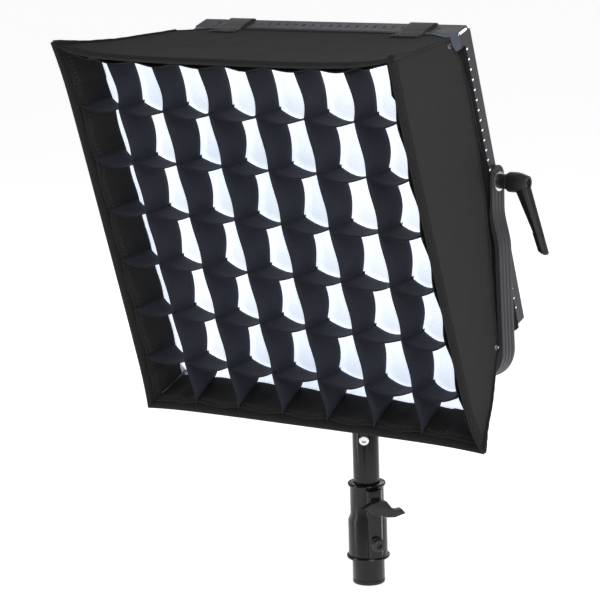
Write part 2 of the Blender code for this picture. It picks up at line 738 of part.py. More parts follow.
def yoke_socket(materials):
    """The stand socket under the yoke, its bolt through the yoke, and its lock knob."""
    top_z = SOCKET_TOP
    profile = [(0.0044, top_z), (SOCKET_RADIUS, top_z), (SOCKET_RADIUS, SOCKET_BOTTOM + 0.002)]
    profile += [(SOCKET_RADIUS - 0.001, SOCKET_BOTTOM), (SPIGOT_BORE, SOCKET_BOTTOM)]
    profile += [(SPIGOT_BORE, SPIGOT_TOP + 0.0006), (0.0044, SPIGOT_TOP + 0.0006)]
    socket = smooth(make_object("stand_socket", turned(profile), materials["black_metal"]))
    knob_z = (SOCKET_BOTTOM + SPIGOT_TOP) / 2
    cut(socket, turn_to(rod(0.0043, 0.03, 20), (0, 1, 0), (0, 0.002, knob_z)))

    head_z = PIVOT_HEIGHT + YOKE_BASE + YOKE + GAP
    profile = [(0, SPIGOT_TOP + 0.0012), (0.0040, SPIGOT_TOP + 0.0012), (0.0040, head_z)]
    profile += [(0.0080, head_z), (0.0074, head_z + 0.0016), (0, head_z + 0.0016)]
    smooth(make_object("yoke_bolt", turned(profile, 24), materials["steel"]))

    stem = SPIGOT_RADIUS + 0.0008
    shoulder = SOCKET_RADIUS + 0.0008
    profile = [(0, stem), (0.0040, stem), (0.0040, shoulder), (0.0080, shoulder)]
    profile += [(0.0085, shoulder + 0.006), (0.0125, shoulder + 0.010), (0.0125, shoulder + 0.020)]
    profile += [(0.0110, shoulder + 0.022), (0, shoulder + 0.022)]
    knob = turned(profile, 40)
    for vert in knob.verts:
        radius = sqrt(vert.co.x**2 + vert.co.y**2)
        if radius > 0.010:
            lobe = 1 + 0.09 * cos(5 * Vector((vert.co.x, vert.co.y)).angle_signed(Vector((1, 0)), 0))
            vert.co.x *= lobe
            vert.co.y *= lobe
    turn_to(knob, (0, 1, 0), (0, 0, 0))
    smooth(make_object("socket_knob", knob, materials["black_plastic"], None, (0, 0, knob_z)))


def riser(materials):
    """The sliding tube, the spigot in its top and the screw that holds the spigot."""
    profile = [(RISER_BORE, RISER_BOTTOM), (RISER_RADIUS, RISER_BOTTOM), (RISER_RADIUS, RISER_TOP)]
    profile += [(RISER_BORE, RISER_TOP)]
    tube = smooth(make_object("riser_tube", turned(profile), materials["gloss_black"]))
    outward = facing(RING_SCREW_AZIMUTH)
    hole = rod(RING_SCREW_HOLE, 0.03, 16)
    cut(tube, turn_to(hole, outward, outward * 0.002 + Vector((0, 0, RING_SCREW_Z))))

    insert = RISER_BORE - GAP
    low = RING_SCREW_Z - 0.010
    flange = RISER_TOP + GAP
    profile = [(0, low), (insert, low), (insert, flange), (RISER_RADIUS, flange)]
    profile += [(RISER_RADIUS, flange + 0.003), (SPIGOT_RADIUS, flange + 0.004)]
    neck = (SOCKET_BOTTOM + SPIGOT_TOP) / 2
    profile += [(SPIGOT_RADIUS, neck - 0.006), (SPIGOT_RADIUS - 0.0012, neck - 0.005)]
    profile += [(SPIGOT_RADIUS - 0.0012, neck + 0.005), (SPIGOT_RADIUS, neck + 0.006)]
    profile += [(SPIGOT_RADIUS, SPIGOT_TOP - 0.001), (SPIGOT_RADIUS - 0.001, SPIGOT_TOP), (0, SPIGOT_TOP)]
    spigot = smooth(make_object("spigot", turned(profile), materials["steel"]))
    hole = rod(RING_SCREW_HOLE, 0.03, 16)
    cut(spigot, turn_to(hole, outward, outward * 0.004 + Vector((0, 0, RING_SCREW_Z))))

    seat = RISER_RADIUS + GAP
    profile = [(0, 0.0045), (0.0025, 0.0045), (0.0025, seat), (0.0050, seat)]
    profile += [(0.0046, seat + 0.0010), (0.0022, seat + 0.0012)]
    profile += [(0.0022, seat - 0.0010), (0, seat - 0.0010)]
    screw = turn_to(turned(profile, 24), outward, (0, 0, 0))
    smooth(make_object("ring_screw", screw, materials["zinc"], None, (0, 0, RING_SCREW_Z)))


def ring_bead(radius, low, inner):
    """Profile points of a rounded rim."""
    bulge = RING_HEIGHT / 2
    points = arc((radius - bulge, low + bulge), bulge, -90, 90, 4)
    return [(max(x, inner), z) for x, z in points]


def collar(materials):
    """The casting that joins the tubes, with a pillar that carries the wing lever and the clamp bolt."""
    bore = RISER_RADIUS + GAP
    low_bore = TUBE_RADIUS + GAP
    profile = [(low_bore, COLLAR_BOTTOM)]
    profile += ring_bead(BOTTOM_RING, COLLAR_BOTTOM, low_bore)
    profile += [(LOWER_BARREL, COLLAR_BOTTOM + RING_HEIGHT), (LOWER_BARREL, STEP_BOTTOM)]
    profile += [(UPPER_BARREL, STEP_TOP), (UPPER_BARREL, COLLAR_TOP - RING_HEIGHT)]
    profile += ring_bead(TOP_RING, COLLAR_TOP - RING_HEIGHT, bore)
    profile += [(bore, COLLAR_TOP), (bore, TUBE_TOP + GAP), (low_bore, TUBE_TOP + GAP)]
    body = smooth(make_object("collar", turned(profile, 40), materials["gloss_black"]))

    outward = facing(COLLAR_AZIMUTH)
    sideways = Vector((-outward.y, outward.x, 0))
    foot = COLLAR_BOTTOM + RING_HEIGHT + 0.001
    head = COLLAR_TOP - RING_HEIGHT - 0.001
    near = UPPER_BARREL - 0.0022
    outline = []
    for width, reach in ((-1, near), (-1, PILLAR_REACH - 0.003), (-0.7, PILLAR_REACH), (0.7, PILLAR_REACH)):
        outline.append(sideways * (width * PILLAR_HALF_WIDTH) + outward * reach)
    for width, reach in ((1, PILLAR_REACH - 0.003), (1, near)):
        outline.append(sideways * (width * PILLAR_HALF_WIDTH) + outward * reach)
    points = [(point.x, point.y, foot) for point in outline]
    join(body, prism(points, (0, 0, head - foot)))
    cut(body, rod(low_bore, TUBE_TOP + GAP, 40))
    holes = bmesh.new()
    for z in (WING_Z, CLAMP_BOLT_Z):
        hole = rod(0.0034, 0.01, 16)
        combine(holes, turn_to(hole, outward, outward * (PILLAR_REACH - 0.0035) + Vector((0, 0, z))))
    cut(body, holes)

    seat = PILLAR_REACH + GAP
    profile = [(0, seat - 0.0032), (0.0030, seat - 0.0032), (0.0030, seat)]
    profile += [(0.0072, seat), (0.0072, seat + 0.0012), (0.0062, seat + 0.0016)]
    profile += [(0.0062, seat + 0.0058), (0.0054, seat + 0.0064)]
    profile += [(0.0026, seat + 0.0064), (0.0026, seat + 0.0034), (0, seat + 0.0034)]
    bolt = turn_to(turned(profile, 24), outward, (0, 0, 0))
    smooth(make_object("clamp_bolt", bolt, materials["steel"], None, (0, 0, CLAMP_BOLT_Z)))
    wing_lever(materials, outward, sideways, seat)


def wing_lever(materials, outward, sideways, seat):
    """A hub on a short shaft, with a curved wing that sweeps up at its long end."""
    profile = [(0, seat - 0.0032), (0.0030, seat - 0.0032), (0.0030, seat), (0.0085, seat)]
    profile += [(0.0085, seat + 0.0060), (0.0070, seat + 0.0080), (0, seat + 0.0080)]
    hub = turn_to(turned(profile, 32), outward, (0, 0, 0))
    lever = make_object("wing_lever", hub, materials["black_plastic"], None, (0, 0, WING_Z))

    lower = [(-0.0180, 0.0018), (-0.0095, 0.0006), (0.0000, -0.0062), (0.0080, -0.0092), (0.0160, -0.0100)]
    lower += [(0.0272, -0.0072)]
    upper = [(0.0232, -0.0023), (0.0185, -0.0028), (0.0139, -0.0016), (0.0078, 0.0068), (0.0015, 0.0080)]
    upper += [(-0.0080, 0.0062)]
    flat = [sideways * u + Vector((0, 0, w)) + outward * (seat + 0.0025) for u, w in lower + upper]
    wing = prism(flat, outward * 0.0070)
    bmesh.ops.translate(wing, vec=(0, 0, WING_Z), verts=wing.verts)
    join(lever, wing)
    smooth(lever)


def lower_tube(materials):
    """The fixed tube under the collar and the plug that closes its bottom."""
    low = PLUG + GAP
    profile = [(TUBE_BORE, low), (TUBE_RADIUS, low), (TUBE_RADIUS, TUBE_TOP), (TUBE_BORE, TUBE_TOP)]
    smooth(make_object("lower_tube", turned(profile, 40), materials["gloss_black"]))
    insert = TUBE_BORE - GAP
    profile = [(0, 0), (TUBE_RADIUS - 0.0008, 0), (TUBE_RADIUS, 0.0008), (TUBE_RADIUS, PLUG)]
    profile += [(insert, PLUG), (insert, PLUG + 0.006), (0, PLUG + 0.006)]
    smooth(make_object("end_plug", turned(profile, 40), materials["black_plastic"]))


def build():
    clear_scene()
    materials = {
        "fabric": finish("black_fabric", (0.030, 0.028, 0.028), 0.90),
        "hem": finish("black_hem", (0.018, 0.017, 0.018), 0.85),
        "grid": finish("grid_fabric", (0.020, 0.021, 0.028), 0.80),
        "webbing": finish("black_webbing", (0.015, 0.015, 0.016), 0.85),
        "cloth": finish("white_diffusion_cloth", (0.82, 0.88, 0.97), 0.70),
        "opal": finish("opal_plate", (0.85, 0.88, 0.92), 0.40),
        "rod": finish("spring_rod", (0.05, 0.05, 0.05), 0.45, 0.3),
        "charcoal": finish("charcoal_paint", (0.045, 0.045, 0.052), 0.50, 0.2),
        "black_metal": finish("black_metal", (0.020, 0.020, 0.022), 0.40, 0.3),
        "gloss_black": finish("gloss_black_paint", (0.012, 0.012, 0.014), 0.18),
        "black_plastic": finish("black_plastic", (0.018, 0.018, 0.020), 0.45),
        "board": finish("circuit_board", (0.55, 0.57, 0.58), 0.50),
        "glass": finish("display_glass", (0.010, 0.012, 0.015), 0.08),
        "zinc": finish("bright_zinc", (0.78, 0.78, 0.76), 0.28, 1.0),
        "steel": finish("dark_steel", (0.16, 0.16, 0.17), 0.35, 1.0),
    }
    pivot = Vector((0, 0, PIVOT_HEIGHT))
    head = bpy.data.objects.new("head_pivot", None)
    bpy.context.scene.collection.objects.link(head)
    head.location = pivot
    head.rotation_euler.x = HEAD_TILT

    fabric_panels(head, materials["fabric"])
    front_hem(head, materials["hem"])
    corner_rods(head, materials["rod"])
    diffuser(head, materials["cloth"])
    grid_border(head, materials["grid"])
    grid_strips(head, materials["grid"])
    straps(head, materials["webbing"])
    light_housing(head, materials)
    light_inside(head, materials)
    control_box(head, materials)
    pivot_bosses(head, materials["steel"])
    yoke(materials, pivot)
    clamping_levers(materials, pivot)
    yoke_socket(materials)
    riser(materials)
    collar(materials)
    lower_tube(materials)


build()
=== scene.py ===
"""The looks of a studio softbox on its LED panel light, yoke and stand top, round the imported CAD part."""

import json
from math import atan2, cos, hypot, pi, radians, sin, sqrt, tau

import bmesh
import bpy
from mathutils import Matrix, Vector, noise


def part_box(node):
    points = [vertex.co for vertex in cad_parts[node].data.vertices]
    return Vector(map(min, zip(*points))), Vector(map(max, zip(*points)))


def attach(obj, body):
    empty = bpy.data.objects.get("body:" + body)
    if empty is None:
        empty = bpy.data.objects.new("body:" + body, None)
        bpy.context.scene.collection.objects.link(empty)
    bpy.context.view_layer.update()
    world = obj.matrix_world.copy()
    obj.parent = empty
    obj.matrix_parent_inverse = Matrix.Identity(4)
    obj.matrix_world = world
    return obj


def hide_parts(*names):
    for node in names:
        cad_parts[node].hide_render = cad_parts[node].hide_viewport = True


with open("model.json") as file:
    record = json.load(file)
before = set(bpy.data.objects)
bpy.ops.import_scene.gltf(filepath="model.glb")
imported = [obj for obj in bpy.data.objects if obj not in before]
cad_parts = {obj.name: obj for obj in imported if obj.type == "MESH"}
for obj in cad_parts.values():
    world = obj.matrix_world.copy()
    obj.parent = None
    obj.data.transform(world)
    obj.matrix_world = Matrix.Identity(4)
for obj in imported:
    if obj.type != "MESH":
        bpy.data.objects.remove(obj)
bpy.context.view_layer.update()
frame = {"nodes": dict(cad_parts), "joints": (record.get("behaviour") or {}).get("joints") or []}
JOINTS = {joint["name"]: joint for joint in frame["joints"]}

# The head's own frame: origin on the tilt axis, x to the right, y to the rear, z up the light.
PIVOT = Vector(JOINTS["head_tilt"]["pos_m"])
KNOB_AXIS = JOINTS["brightness_turn"]["axis"]
HEAD = Matrix.Translation(PIVOT) @ Matrix.Rotation(atan2(KNOB_AXIS[2], KNOB_AXIS[1]), 4, "X")
# The yoke and clamps are laid out from the tilt axis without the tilt, the stand from the foot.
UPRIGHT = Matrix.Translation(PIVOT)
STAND = Matrix.Identity(4)


def head_box(node):
    """A CAD node's lowest and highest corners in the head's own frame."""
    points = [HEAD.inverted() @ vert.co for vert in frame["nodes"][node].data.vertices]
    low = Vector([min(point[axis] for point in points) for axis in range(3)])
    high = Vector([max(point[axis] for point in points) for axis in range(3)])
    return low, high


HEM_LOW, HEM_HIGH = head_box("front_hem")
SIDE_LOW, SIDE_HIGH = head_box("fabric_right")
ROOF_LOW = head_box("fabric_top")[0]
LIGHT_LOW, LIGHT_HIGH = head_box("light_housing")
CLOTH_LOW, CLOTH_HIGH = head_box("diffuser_cloth")
STRIP_LOW, STRIP_HIGH = head_box("grid_strip_v1")
COVER_HIGH = head_box("light_back_cover")[1]
BOX_LOW, BOX_HIGH = head_box("control_box")

FRONT_Y = HEM_LOW.y
FRONT_HALF = HEM_HIGH.x
FRONT_TOP = HEM_HIGH.z
FRONT_BOTTOM = HEM_LOW.z
REAR_Y = SIDE_HIGH.y
FABRIC = 0.0015
REAR_HALF = SIDE_LOW.x + FABRIC
REAR_TOP = ROOF_LOW.z + FABRIC
LIGHT_HALF = LIGHT_HIGH.x

# How far the cloth leaves the straight frustum.
TOP_SAG = 0.0068
BOTTOM_SAG = 0.0022
SIDE_BOW = 0.0020
HOLLOW = 0.0016
SAG_POWER = 4.0
EAR_DEPTH = 0.075
EAR_WIDTH = 0.045
# Each corner's shift at the mouth and its ear, by side and level.
CORNERS = {
    (-1, 1): (Vector((0.0010, 0, -0.0005)), Vector((-0.0030, 0, 0.0062))),
    (1, 1): (Vector((-0.0050, 0, -0.0005)), Vector((0.0000, 0, 0.0028))),
    (-1, -1): (Vector((-0.0022, 0, 0.0008)), Vector((-0.0020, 0, -0.0010))),
    (1, -1): (Vector((0.0010, 0.0015, 0.0044)), Vector((0.0035, 0.0035, -0.0040))),
}
LIFT_START_Y = -0.112
LIFT_END_Y = -0.058
REAR_LIFT = 0.0190
# The scooped rear edges: (share along the face, depth).
SIDE_REAR = [(-1, -0.061), (-0.78, -0.049), (-0.6, -0.039), (-0.4, -0.027), (0, -0.0185)]
SIDE_REAR += [(0.3, -0.0120), (0.55, -0.0100), (0.78, -0.0135), (1, -0.033)]
TOP_REAR = [(-1, -0.033), (-0.82, -0.0165), (-0.6, -0.0145), (0.6, -0.0145), (0.82, -0.0165), (1, -0.033)]
BOTTOM_REAR = [(-1, -0.061), (-0.8, -0.036), (-0.55, -0.0165), (0.55, -0.0165), (0.8, -0.036), (1, -0.061)]
REAR_EDGES = {"top": TOP_REAR, "bottom": BOTTOM_REAR, "left": SIDE_REAR, "right": SIDE_REAR}
FACES = ("top", "right", "bottom", "left")
INWARD = {"top": (0, 0, -1), "bottom": (0, 0, 1), "left": (1, 0, 0), "right": (-1, 0, 0)}
# The way round the mouth: each face with its first and last share.
ROUND = (("top", -1, 1), ("right", 1, -1), ("bottom", 1, -1), ("left", -1, 1))

CELLS = 7
V_CENTRES = [sum(v.x for v in head_box(f"grid_strip_v{n + 1}")) / 2 for n in range(CELLS - 1)]
H_CENTRES = [sum(v.z for v in head_box(f"grid_strip_h{n + 1}")) / 2 for n in range(CELLS - 1)]
CELL_X = (V_CENTRES[-1] - V_CENTRES[0]) / (CELLS - 2)
CELL_Z = (H_CENTRES[0] - H_CENTRES[-1]) / (CELLS - 2)
GRID_FRONT = STRIP_LOW.y
GRID_BACK = STRIP_HIGH.y
BORDER_INSET = 0.0052
BORDER_PULL = 0.0036
GRID_DROOP = 0.0090
CLOTH_INSET = 0.0045
# How far a strip bows between its crossings, at its front edge and at its back edge.
UPRIGHT_BOW = (0.0012, 0.0060)
TOP_CELL_BOW = (0.0034, 0.0022)
LEVEL_BOW = (0.0066, 0.0080)
SWAY = 0.0008

# Thicknesses of the sheets.
PANEL_THICK = 0.0008
SKIRT_THICK = 0.0007
BORDER_THICK = 0.0010
STRIP_THICK = 0.0009
CLOTH_THICK = 0.0004
WEBBING_THICK = 0.0013


# ---------------------------------------------------------------- small helpers


def smoothstep(value):
    value = min(max(value, 0.0), 1.0)
    return value * value * (3 - 2 * value)


def mix(a, b, share):
    return a + (b - a) * share


def follow(points, place):
    """The value at a place along a short list of (place, value) points, eased between them."""
    for (start, low), (end, high) in zip(points, points[1:]):
        if place <= end:
            return mix(low, high, smoothstep((place - start) / (end - start)))
    return points[-1][1]


def wobble(x, y, z=0.0):
    """Smooth noise between about -1 and 1, the same on every run."""
    return noise.noise(Vector((x, y, z)))


def link(name, bm, finish, body="head", matrix=HEAD, replaces=(), smooth=40):
    """Makes the piece, places it, shades it smooth below the given angle and hands it to its body."""
    bmesh.ops.transform(bm, matrix=matrix, verts=bm.verts)
    mesh = bpy.data.meshes.new(name)
    bm.to_mesh(mesh)
    bm.free()
    for key in [finish] if isinstance(finish, str) else finish:
        mesh.materials.append(MATERIALS[key])
    mesh.shade_smooth()
    if smooth:
        mesh.set_sharp_from_angle(angle=radians(smooth))
    obj = bpy.data.objects.new(name, mesh)
    bpy.context.scene.collection.objects.link(obj)
    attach(obj, body)
    if replaces:
        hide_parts(*replaces)
    return obj


def add_faces(bm, rows, closed_rows=False, closed_columns=False, flip=False, uv=None):
    """Joins a grid of points with quads. With uv, its real lengths per step go in the UV map."""
    grid = [[bm.verts.new(point) for point in row] for row in rows]
    layer = bm.loops.layers.uv.verify() if uv else None
    row_count = len(rows) if closed_rows else len(rows) - 1
    column_count = len(rows[0]) if closed_columns else len(rows[0]) - 1
    for r in range(row_count):
        for c in range(column_count):
            r2 = (r + 1) % len(rows)
            c2 = (c + 1) % len(rows[0])
            corners = [(r, c), (r, c2), (r2, c2), (r2, c)]
            if flip:
                corners.reverse()
            face = bm.faces.new([grid[a][b] for a, b in corners])
            if layer:
                steps = {(r, c): (r, c), (r, c2): (r, c + 1), (r2, c2): (r + 1, c + 1), (r2, c): (r + 1, c)}
                for loop, corner in zip(face.loops, corners):
                    a, b = steps[corner]
                    loop[layer].uv = (b * uv[0], a * uv[1])
    return grid


def close_ends(bm, grid):
    bm.faces.new(grid[0][::-1])
    bm.faces.new(grid[-1])


def circle(count):
    """Even angles round a circle."""
    return [tau * k / count for k in range(count)]


def path_length(points):
    return sum((b - a).length for a, b in zip(points, points[1:]))


def grid_area(rows):
    total = 0.0
    for upper, lower in zip(rows, rows[1:]):
        for a, b, c, d in zip(upper, upper[1:], lower[1:], lower):
            total += ((c - a).cross(d - b)).length / 2
    return total


def thicken(obj, thickness, offset):
    solid = obj.modifiers.new("thickness", "SOLIDIFY")
    solid.thickness = thickness
    solid.offset = offset
    solid.use_even_offset = False
    return solid


def declare(obj, size, area, *rests_on):
    """Rounds a sheet of cloth's flat size and caps its area at that size; neither is used further."""
    flat = (round(size[0], 4), round(size[1], 4))
    area = min(area, flat[0] * flat[1])


def cloth(name, rows, finish, thickness, replaces, rests_on, offset=0.0, flip=False, smooth=0):
    """A thin sheet over a grid of points, cut to its longest row and column.

    With two finishes, the second is the back's where the thickness lies on one side, or else the rim's.
    """
    across = max(path_length(row) for row in rows)
    down = max(path_length(column) for column in zip(*rows))
    bm = bmesh.new()
    add_faces(bm, rows, flip=flip, uv=(across / (len(rows[0]) - 1), down / (len(rows) - 1)))
    obj = link(name, bm, finish, replaces=replaces, smooth=smooth)
    solid = thicken(obj, thickness, offset)
    if not isinstance(finish, str):
        solid.material_offset = 1 if offset else 0
        solid.material_offset_rim = 0 if offset else 1
    declare(obj, (across, down), grid_area(rows), *rests_on)


def tube(bm, path, radius, sides, closed=False):
    """A round cord along a path, with its ends closed unless it is a loop."""
    rings = []
    up = Vector((0, 0, 1))
    count = len(path)
    for i, point in enumerate(path):
        if closed:
            heading = (path[(i + 1) % count] - path[i - 1]).normalized()
        else:
            heading = (path[min(i + 1, count - 1)] - path[max(i - 1, 0)]).normalized()
        side = heading.cross(up)
        if side.length < 0.05:
            side = heading.cross(Vector((1, 0, 0)))
        side.normalize()
        other = side.cross(heading).normalized()
        size = radius(i / max(count - 1, 1)) if callable(radius) else radius
        rings.append([point + (side * cos(a) + other * sin(a)) * size for a in circle(sides)])
    grid = add_faces(bm, rings, closed_rows=closed, closed_columns=True)
    if not closed:
        close_ends(bm, grid)
    return bm


def lathe(bm, profile, place, direction, segments=48):
    """(radius, height) points spun about a direction from a place. Ends on the axis close the body."""
    turn = Vector((0, 0, 1)).rotation_difference(Vector(direction)).to_matrix().to_4x4()
    matrix = Matrix.Translation(place) @ turn
    rings = []
    for radius, height in profile:
        if radius < 1e-6:
            rings.append([bm.verts.new(matrix @ Vector((0, 0, height)))] * segments)
            continue
        points = [Vector((radius * cos(a), radius * sin(a), height)) for a in circle(segments)]
        rings.append([bm.verts.new(matrix @ point) for point in points])
    for lower, upper in zip(rings, rings[1:]):
        for k in range(segments):
            k2 = (k + 1) % segments
            corners = list(dict.fromkeys([lower[k], lower[k2], upper[k2], upper[k]]))
            if len(corners) > 2:
                bm.faces.new(corners)
    return bm


def box(bm, low, high, bevel=0.0):
    """A block between two corners, with its edges rounded if asked."""
    size = Vector(high) - Vector(low)
    middle = (Vector(high) + Vector(low)) / 2
    place = Matrix.Translation(middle) @ Matrix.Diagonal((*size, 1.0))
    made = bmesh.ops.create_cube(bm, size=1.0, matrix=place)
    if bevel:
        edges = list({edge for vert in made["verts"] for edge in vert.link_edges})
        bmesh.ops.bevel(bm, geom=edges, offset=bevel, segments=2, profile=0.5, affect="EDGES")


def stitches(bm, path, normals, pitch=0.0042, length=0.0028, radius=0.00038):
    """A row of small sewn stitches lying on a surface along a path."""
    travelled = 0.0
    target = pitch / 2
    for start, end, normal in zip(path, path[1:], normals):
        step = (end - start).length
        while step > 0 and target <= travelled + step:
            middle = start.lerp(end, (target - travelled) / step)
            along = (end - start).normalized()
            lift = normal.normalized()
            side = along.cross(lift).normalized()
            rings = []
            for share, size in ((-0.5, 0.35), (-0.3, 1.0), (0.3, 1.0), (0.5, 0.35)):
                centre = middle + along * length * share + lift * radius * 0.35 * size
                rings.append([centre + (side * cos(a) + lift * sin(a)) * radius * size for a in circle(6)])
            close_ends(bm, add_faces(bm, rings, closed_columns=True))
            target += pitch
        travelled += step


def stitch_ring(bm, points, lift, **options):
    """Stitches along a closed ring round the mouth, on its outer side for a lift of 1."""
    path = points + points[:1]
    normals = [(b - a).normalized().cross(Vector((0, 1, 0))) * lift for a, b in zip(path, path[1:])]
    stitches(bm, path, normals, **options)


# ---------------------------------------------------------------- materials


class Finish:
    """A Principled material and short calls to build its nodes."""

    def __init__(self, name, colour, roughness, metallic=0.0, **sockets):
        self.material = bpy.data.materials.new(name)
        self.material.use_nodes = True
        self.tree = self.material.node_tree
        self.shader = self.tree.nodes["Principled BSDF"]
        self.colour = colour
        self.set("Base Color", (*colour, 1.0))
        self.set("Roughness", roughness)
        self.set("Metallic", metallic)
        for socket, value in sockets.items():
            self.set(socket.replace("_", " "), value)
        self.height = None

    def set(self, socket, value):
        self.shader.inputs[socket].default_value = value

    def node(self, kind, inputs=(), **settings):
        made = self.tree.nodes.new("ShaderNode" + kind)
        for key, value in settings.items():
            setattr(made, key, value)
        for key, value in dict(inputs).items():
            if isinstance(value, bpy.types.NodeSocket):
                self.tree.links.new(value, made.inputs[key])
            else:
                made.inputs[key].default_value = value
        return made

    def math(self, operation, a, b=0.0, clamp=False):
        made = self.node("Math", {0: a, 1: b}, operation=operation, use_clamp=clamp)
        return made.outputs[0]

    def place(self, source="Object"):
        return self.node("TexCoord").outputs[source]

    def noise(self, scale, detail=3.0, roughness=0.55, stretch=(1, 1, 1)):
        moved = self.node("Mapping", {"Vector": self.place(), "Scale": stretch})
        inputs = {"Vector": moved.outputs[0], "Scale": scale, "Detail": detail, "Roughness": roughness}
        return self.node("TexNoise", inputs).outputs["Fac"]

    def ramp(self, value, low, high, start=0.0, end=1.0):
        """Maps a value to between low and high."""
        inputs = {"Value": value, "From Min": start, "From Max": end, "To Min": low, "To Max": high}
        return self.node("MapRange", inputs).outputs[0]

    def tint(self, value, dark, light):
        """The base colour runs from dark to light, each a share of the finish's own colour."""
        first = [channel * dark for channel in self.colour]
        second = [min(channel * light, 1.0) for channel in self.colour]
        made = self.node("Mix", {"Factor": value}, data_type="RGBA")
        made.inputs[6].default_value = (*first, 1.0)
        made.inputs[7].default_value = (*second, 1.0)
        self.tree.links.new(made.outputs[2], self.shader.inputs["Base Color"])

    def rough(self, value, low, high):
        self.tree.links.new(self.ramp(value, low, high), self.shader.inputs["Roughness"])

    def bump(self, value, distance, strength=1.0):
        inputs = {"Height": value, "Distance": distance, "Strength": strength}
        if self.height:
            inputs["Normal"] = self.height
        self.height = self.node("Bump", inputs).outputs[0]
        self.tree.links.new(self.height, self.shader.inputs["Normal"])

    def threads(self, pitch, twill=False, source="UV"):
        """The height of a plain or twill weave whose threads lie a real pitch apart."""
        split = self.node("SeparateXYZ", {"Vector": self.place(source)})
        turn = tau / pitch
        u = self.math("MULTIPLY", split.outputs[0], turn)
        v = self.math("MULTIPLY", split.outputs[1], turn)
        if twill:
            diagonal = self.math("ADD", u, v)
            return self.math("MULTIPLY_ADD", self.math("SINE", diagonal), 0.5)
        weft = self.math("SINE", u)
        warp = self.math("SINE", v)
        return self.math("MULTIPLY", weft, warp)


def woven(name, colour, roughness, pitch, twill=False, sheen=0.15, tint=(0.75, 1.25), source="UV"):
    """Cloth: a weave at its real pitch, uneven threads, soft wear and a little sheen."""
    made = Finish(name, colour, roughness, Sheen_Weight=sheen, Sheen_Roughness=0.45, Specular_IOR_Level=0.25)
    made.set("Sheen Tint", (*[min(channel * 6, 1.0) for channel in colour], 1.0))
    weave = made.threads(pitch, twill, source)
    patches = made.noise(45, 4, 0.6)
    slubs = made.noise(700, 2, 0.6, (1, 1, 0.35))
    shade = made.math("MULTIPLY_ADD", weave, 0.18, False)
    blend = made.math("ADD", made.ramp(patches, 0.1, 0.6), made.ramp(slubs, 0.0, 0.5))
    blend = made.math("ADD", blend, shade, True)
    made.tint(blend, *tint)
    made.rough(patches, roughness - 0.08, min(roughness + 0.08, 1.0))
    made.bump(weave, pitch * 0.30, 0.55)
    made.bump(made.noise(120, 3), 0.0006, 0.35)
    return made


def webbing_finish():
    made = Finish("webbing", (0.0105, 0.0105, 0.0112), 0.8, Sheen_Weight=0.25, Specular_IOR_Level=0.25)
    split = made.node("SeparateXYZ", {"Vector": made.place("UV")})
    ribs = made.math("SINE", made.math("MULTIPLY", split.outputs[1], tau / 0.0009))
    fine = made.math("SINE", made.math("MULTIPLY", split.outputs[0], tau / 0.0011))
    wear = made.ramp(made.noise(150), 0.1, 0.8)
    made.tint(made.math("ADD", wear, made.math("MULTIPLY", ribs, 0.25), True), 0.6, 1.8)
    made.bump(ribs, 0.00012, 0.6)
    made.bump(fine, 0.00010, 0.5)
    return made


def diffuser_finish():
    """Thin white cloth lit from behind, a little brighter over the middle of the light."""
    colour = (0.80, 0.86, 0.98)
    made = Finish("diffusion_cloth", colour, 0.75, Sheen_Weight=0.1)
    weave = made.threads(0.0017)
    patches = made.noise(6, 3, 0.5)
    made.bump(weave, 0.0003, 0.6)
    glow = made.node("Mix", {"Factor": made.ramp(patches, 0, 1, 0.3, 0.7)}, data_type="RGBA")
    glow.inputs[6].default_value = (0.76, 0.85, 1.0, 1.0)
    glow.inputs[7].default_value = (0.90, 0.95, 1.0, 1.0)
    made.tree.links.new(glow.outputs[2], made.shader.inputs["Emission Color"])
    strength = made.math("ADD", made.ramp(patches, 0.80, 0.98, 0.3, 0.7), made.math("MULTIPLY", weave, 0.03))
    made.tree.links.new(strength, made.shader.inputs["Emission Strength"])
    made.tint(patches, 0.9, 1.05)
    return made


def silver_finish():
    made = Finish("silver_lining", (0.80, 0.80, 0.82), 0.32, 0.85)
    crinkle = made.noise(260, 4, 0.65)
    made.tint(crinkle, 0.7, 1.15)
    made.rough(crinkle, 0.25, 0.5)
    made.bump(crinkle, 0.0008, 0.7)
    made.bump(made.threads(0.0011), 0.0002, 0.5)
    return made


def painted(name, colour, roughness, grain, metallic=0.0, specular=0.5):
    """Textured paint: a fine pebble, cloudy gloss and convex edges painted lighter, a painted edge highlight
    broken up like wear.
    """
    made = Finish(name, colour, roughness, metallic, Specular_IOR_Level=specular)
    pebble = made.noise(grain, 2, 0.5)
    clouds = made.noise(30, 3, 0.6)
    # Convex edges are painted lighter: a painted edge highlight, patchy like wear.
    edge_highlight_and_wear = made.ramp(made.node("NewGeometry").outputs["Pointiness"], 0, 1, 0.53, 0.60)
    edge_highlight_and_wear = made.math("MULTIPLY", edge_highlight_and_wear, made.ramp(made.noise(220, 3), 0.1, 0.7))
    shade = made.math("ADD", made.ramp(clouds, 0.15, 0.55), made.math("MULTIPLY", pebble, 0.25))
    made.tint(made.math("ADD", shade, edge_highlight_and_wear, True), 0.75, 1.7)
    uneven = made.math("ADD", made.math("MULTIPLY", clouds, 0.6), made.math("MULTIPLY", pebble, 0.4))
    made.rough(uneven, roughness - 0.07, roughness + 0.10)
    made.bump(pebble, 0.00025, 0.45)
    return made


def metal_finish(name, colour, roughness, stretch=(1, 1, 12)):
    made = Finish(name, colour, roughness, 1.0)
    lines = made.noise(500, 3, 0.6, stretch)
    stains = made.noise(90, 3, 0.6)
    made.tint(made.math("MULTIPLY", made.math("ADD", lines, stains), 0.5), 0.75, 1.2)
    made.rough(lines, roughness - 0.06, roughness + 0.14)
    made.bump(lines, 0.0001, 0.35)
    return made


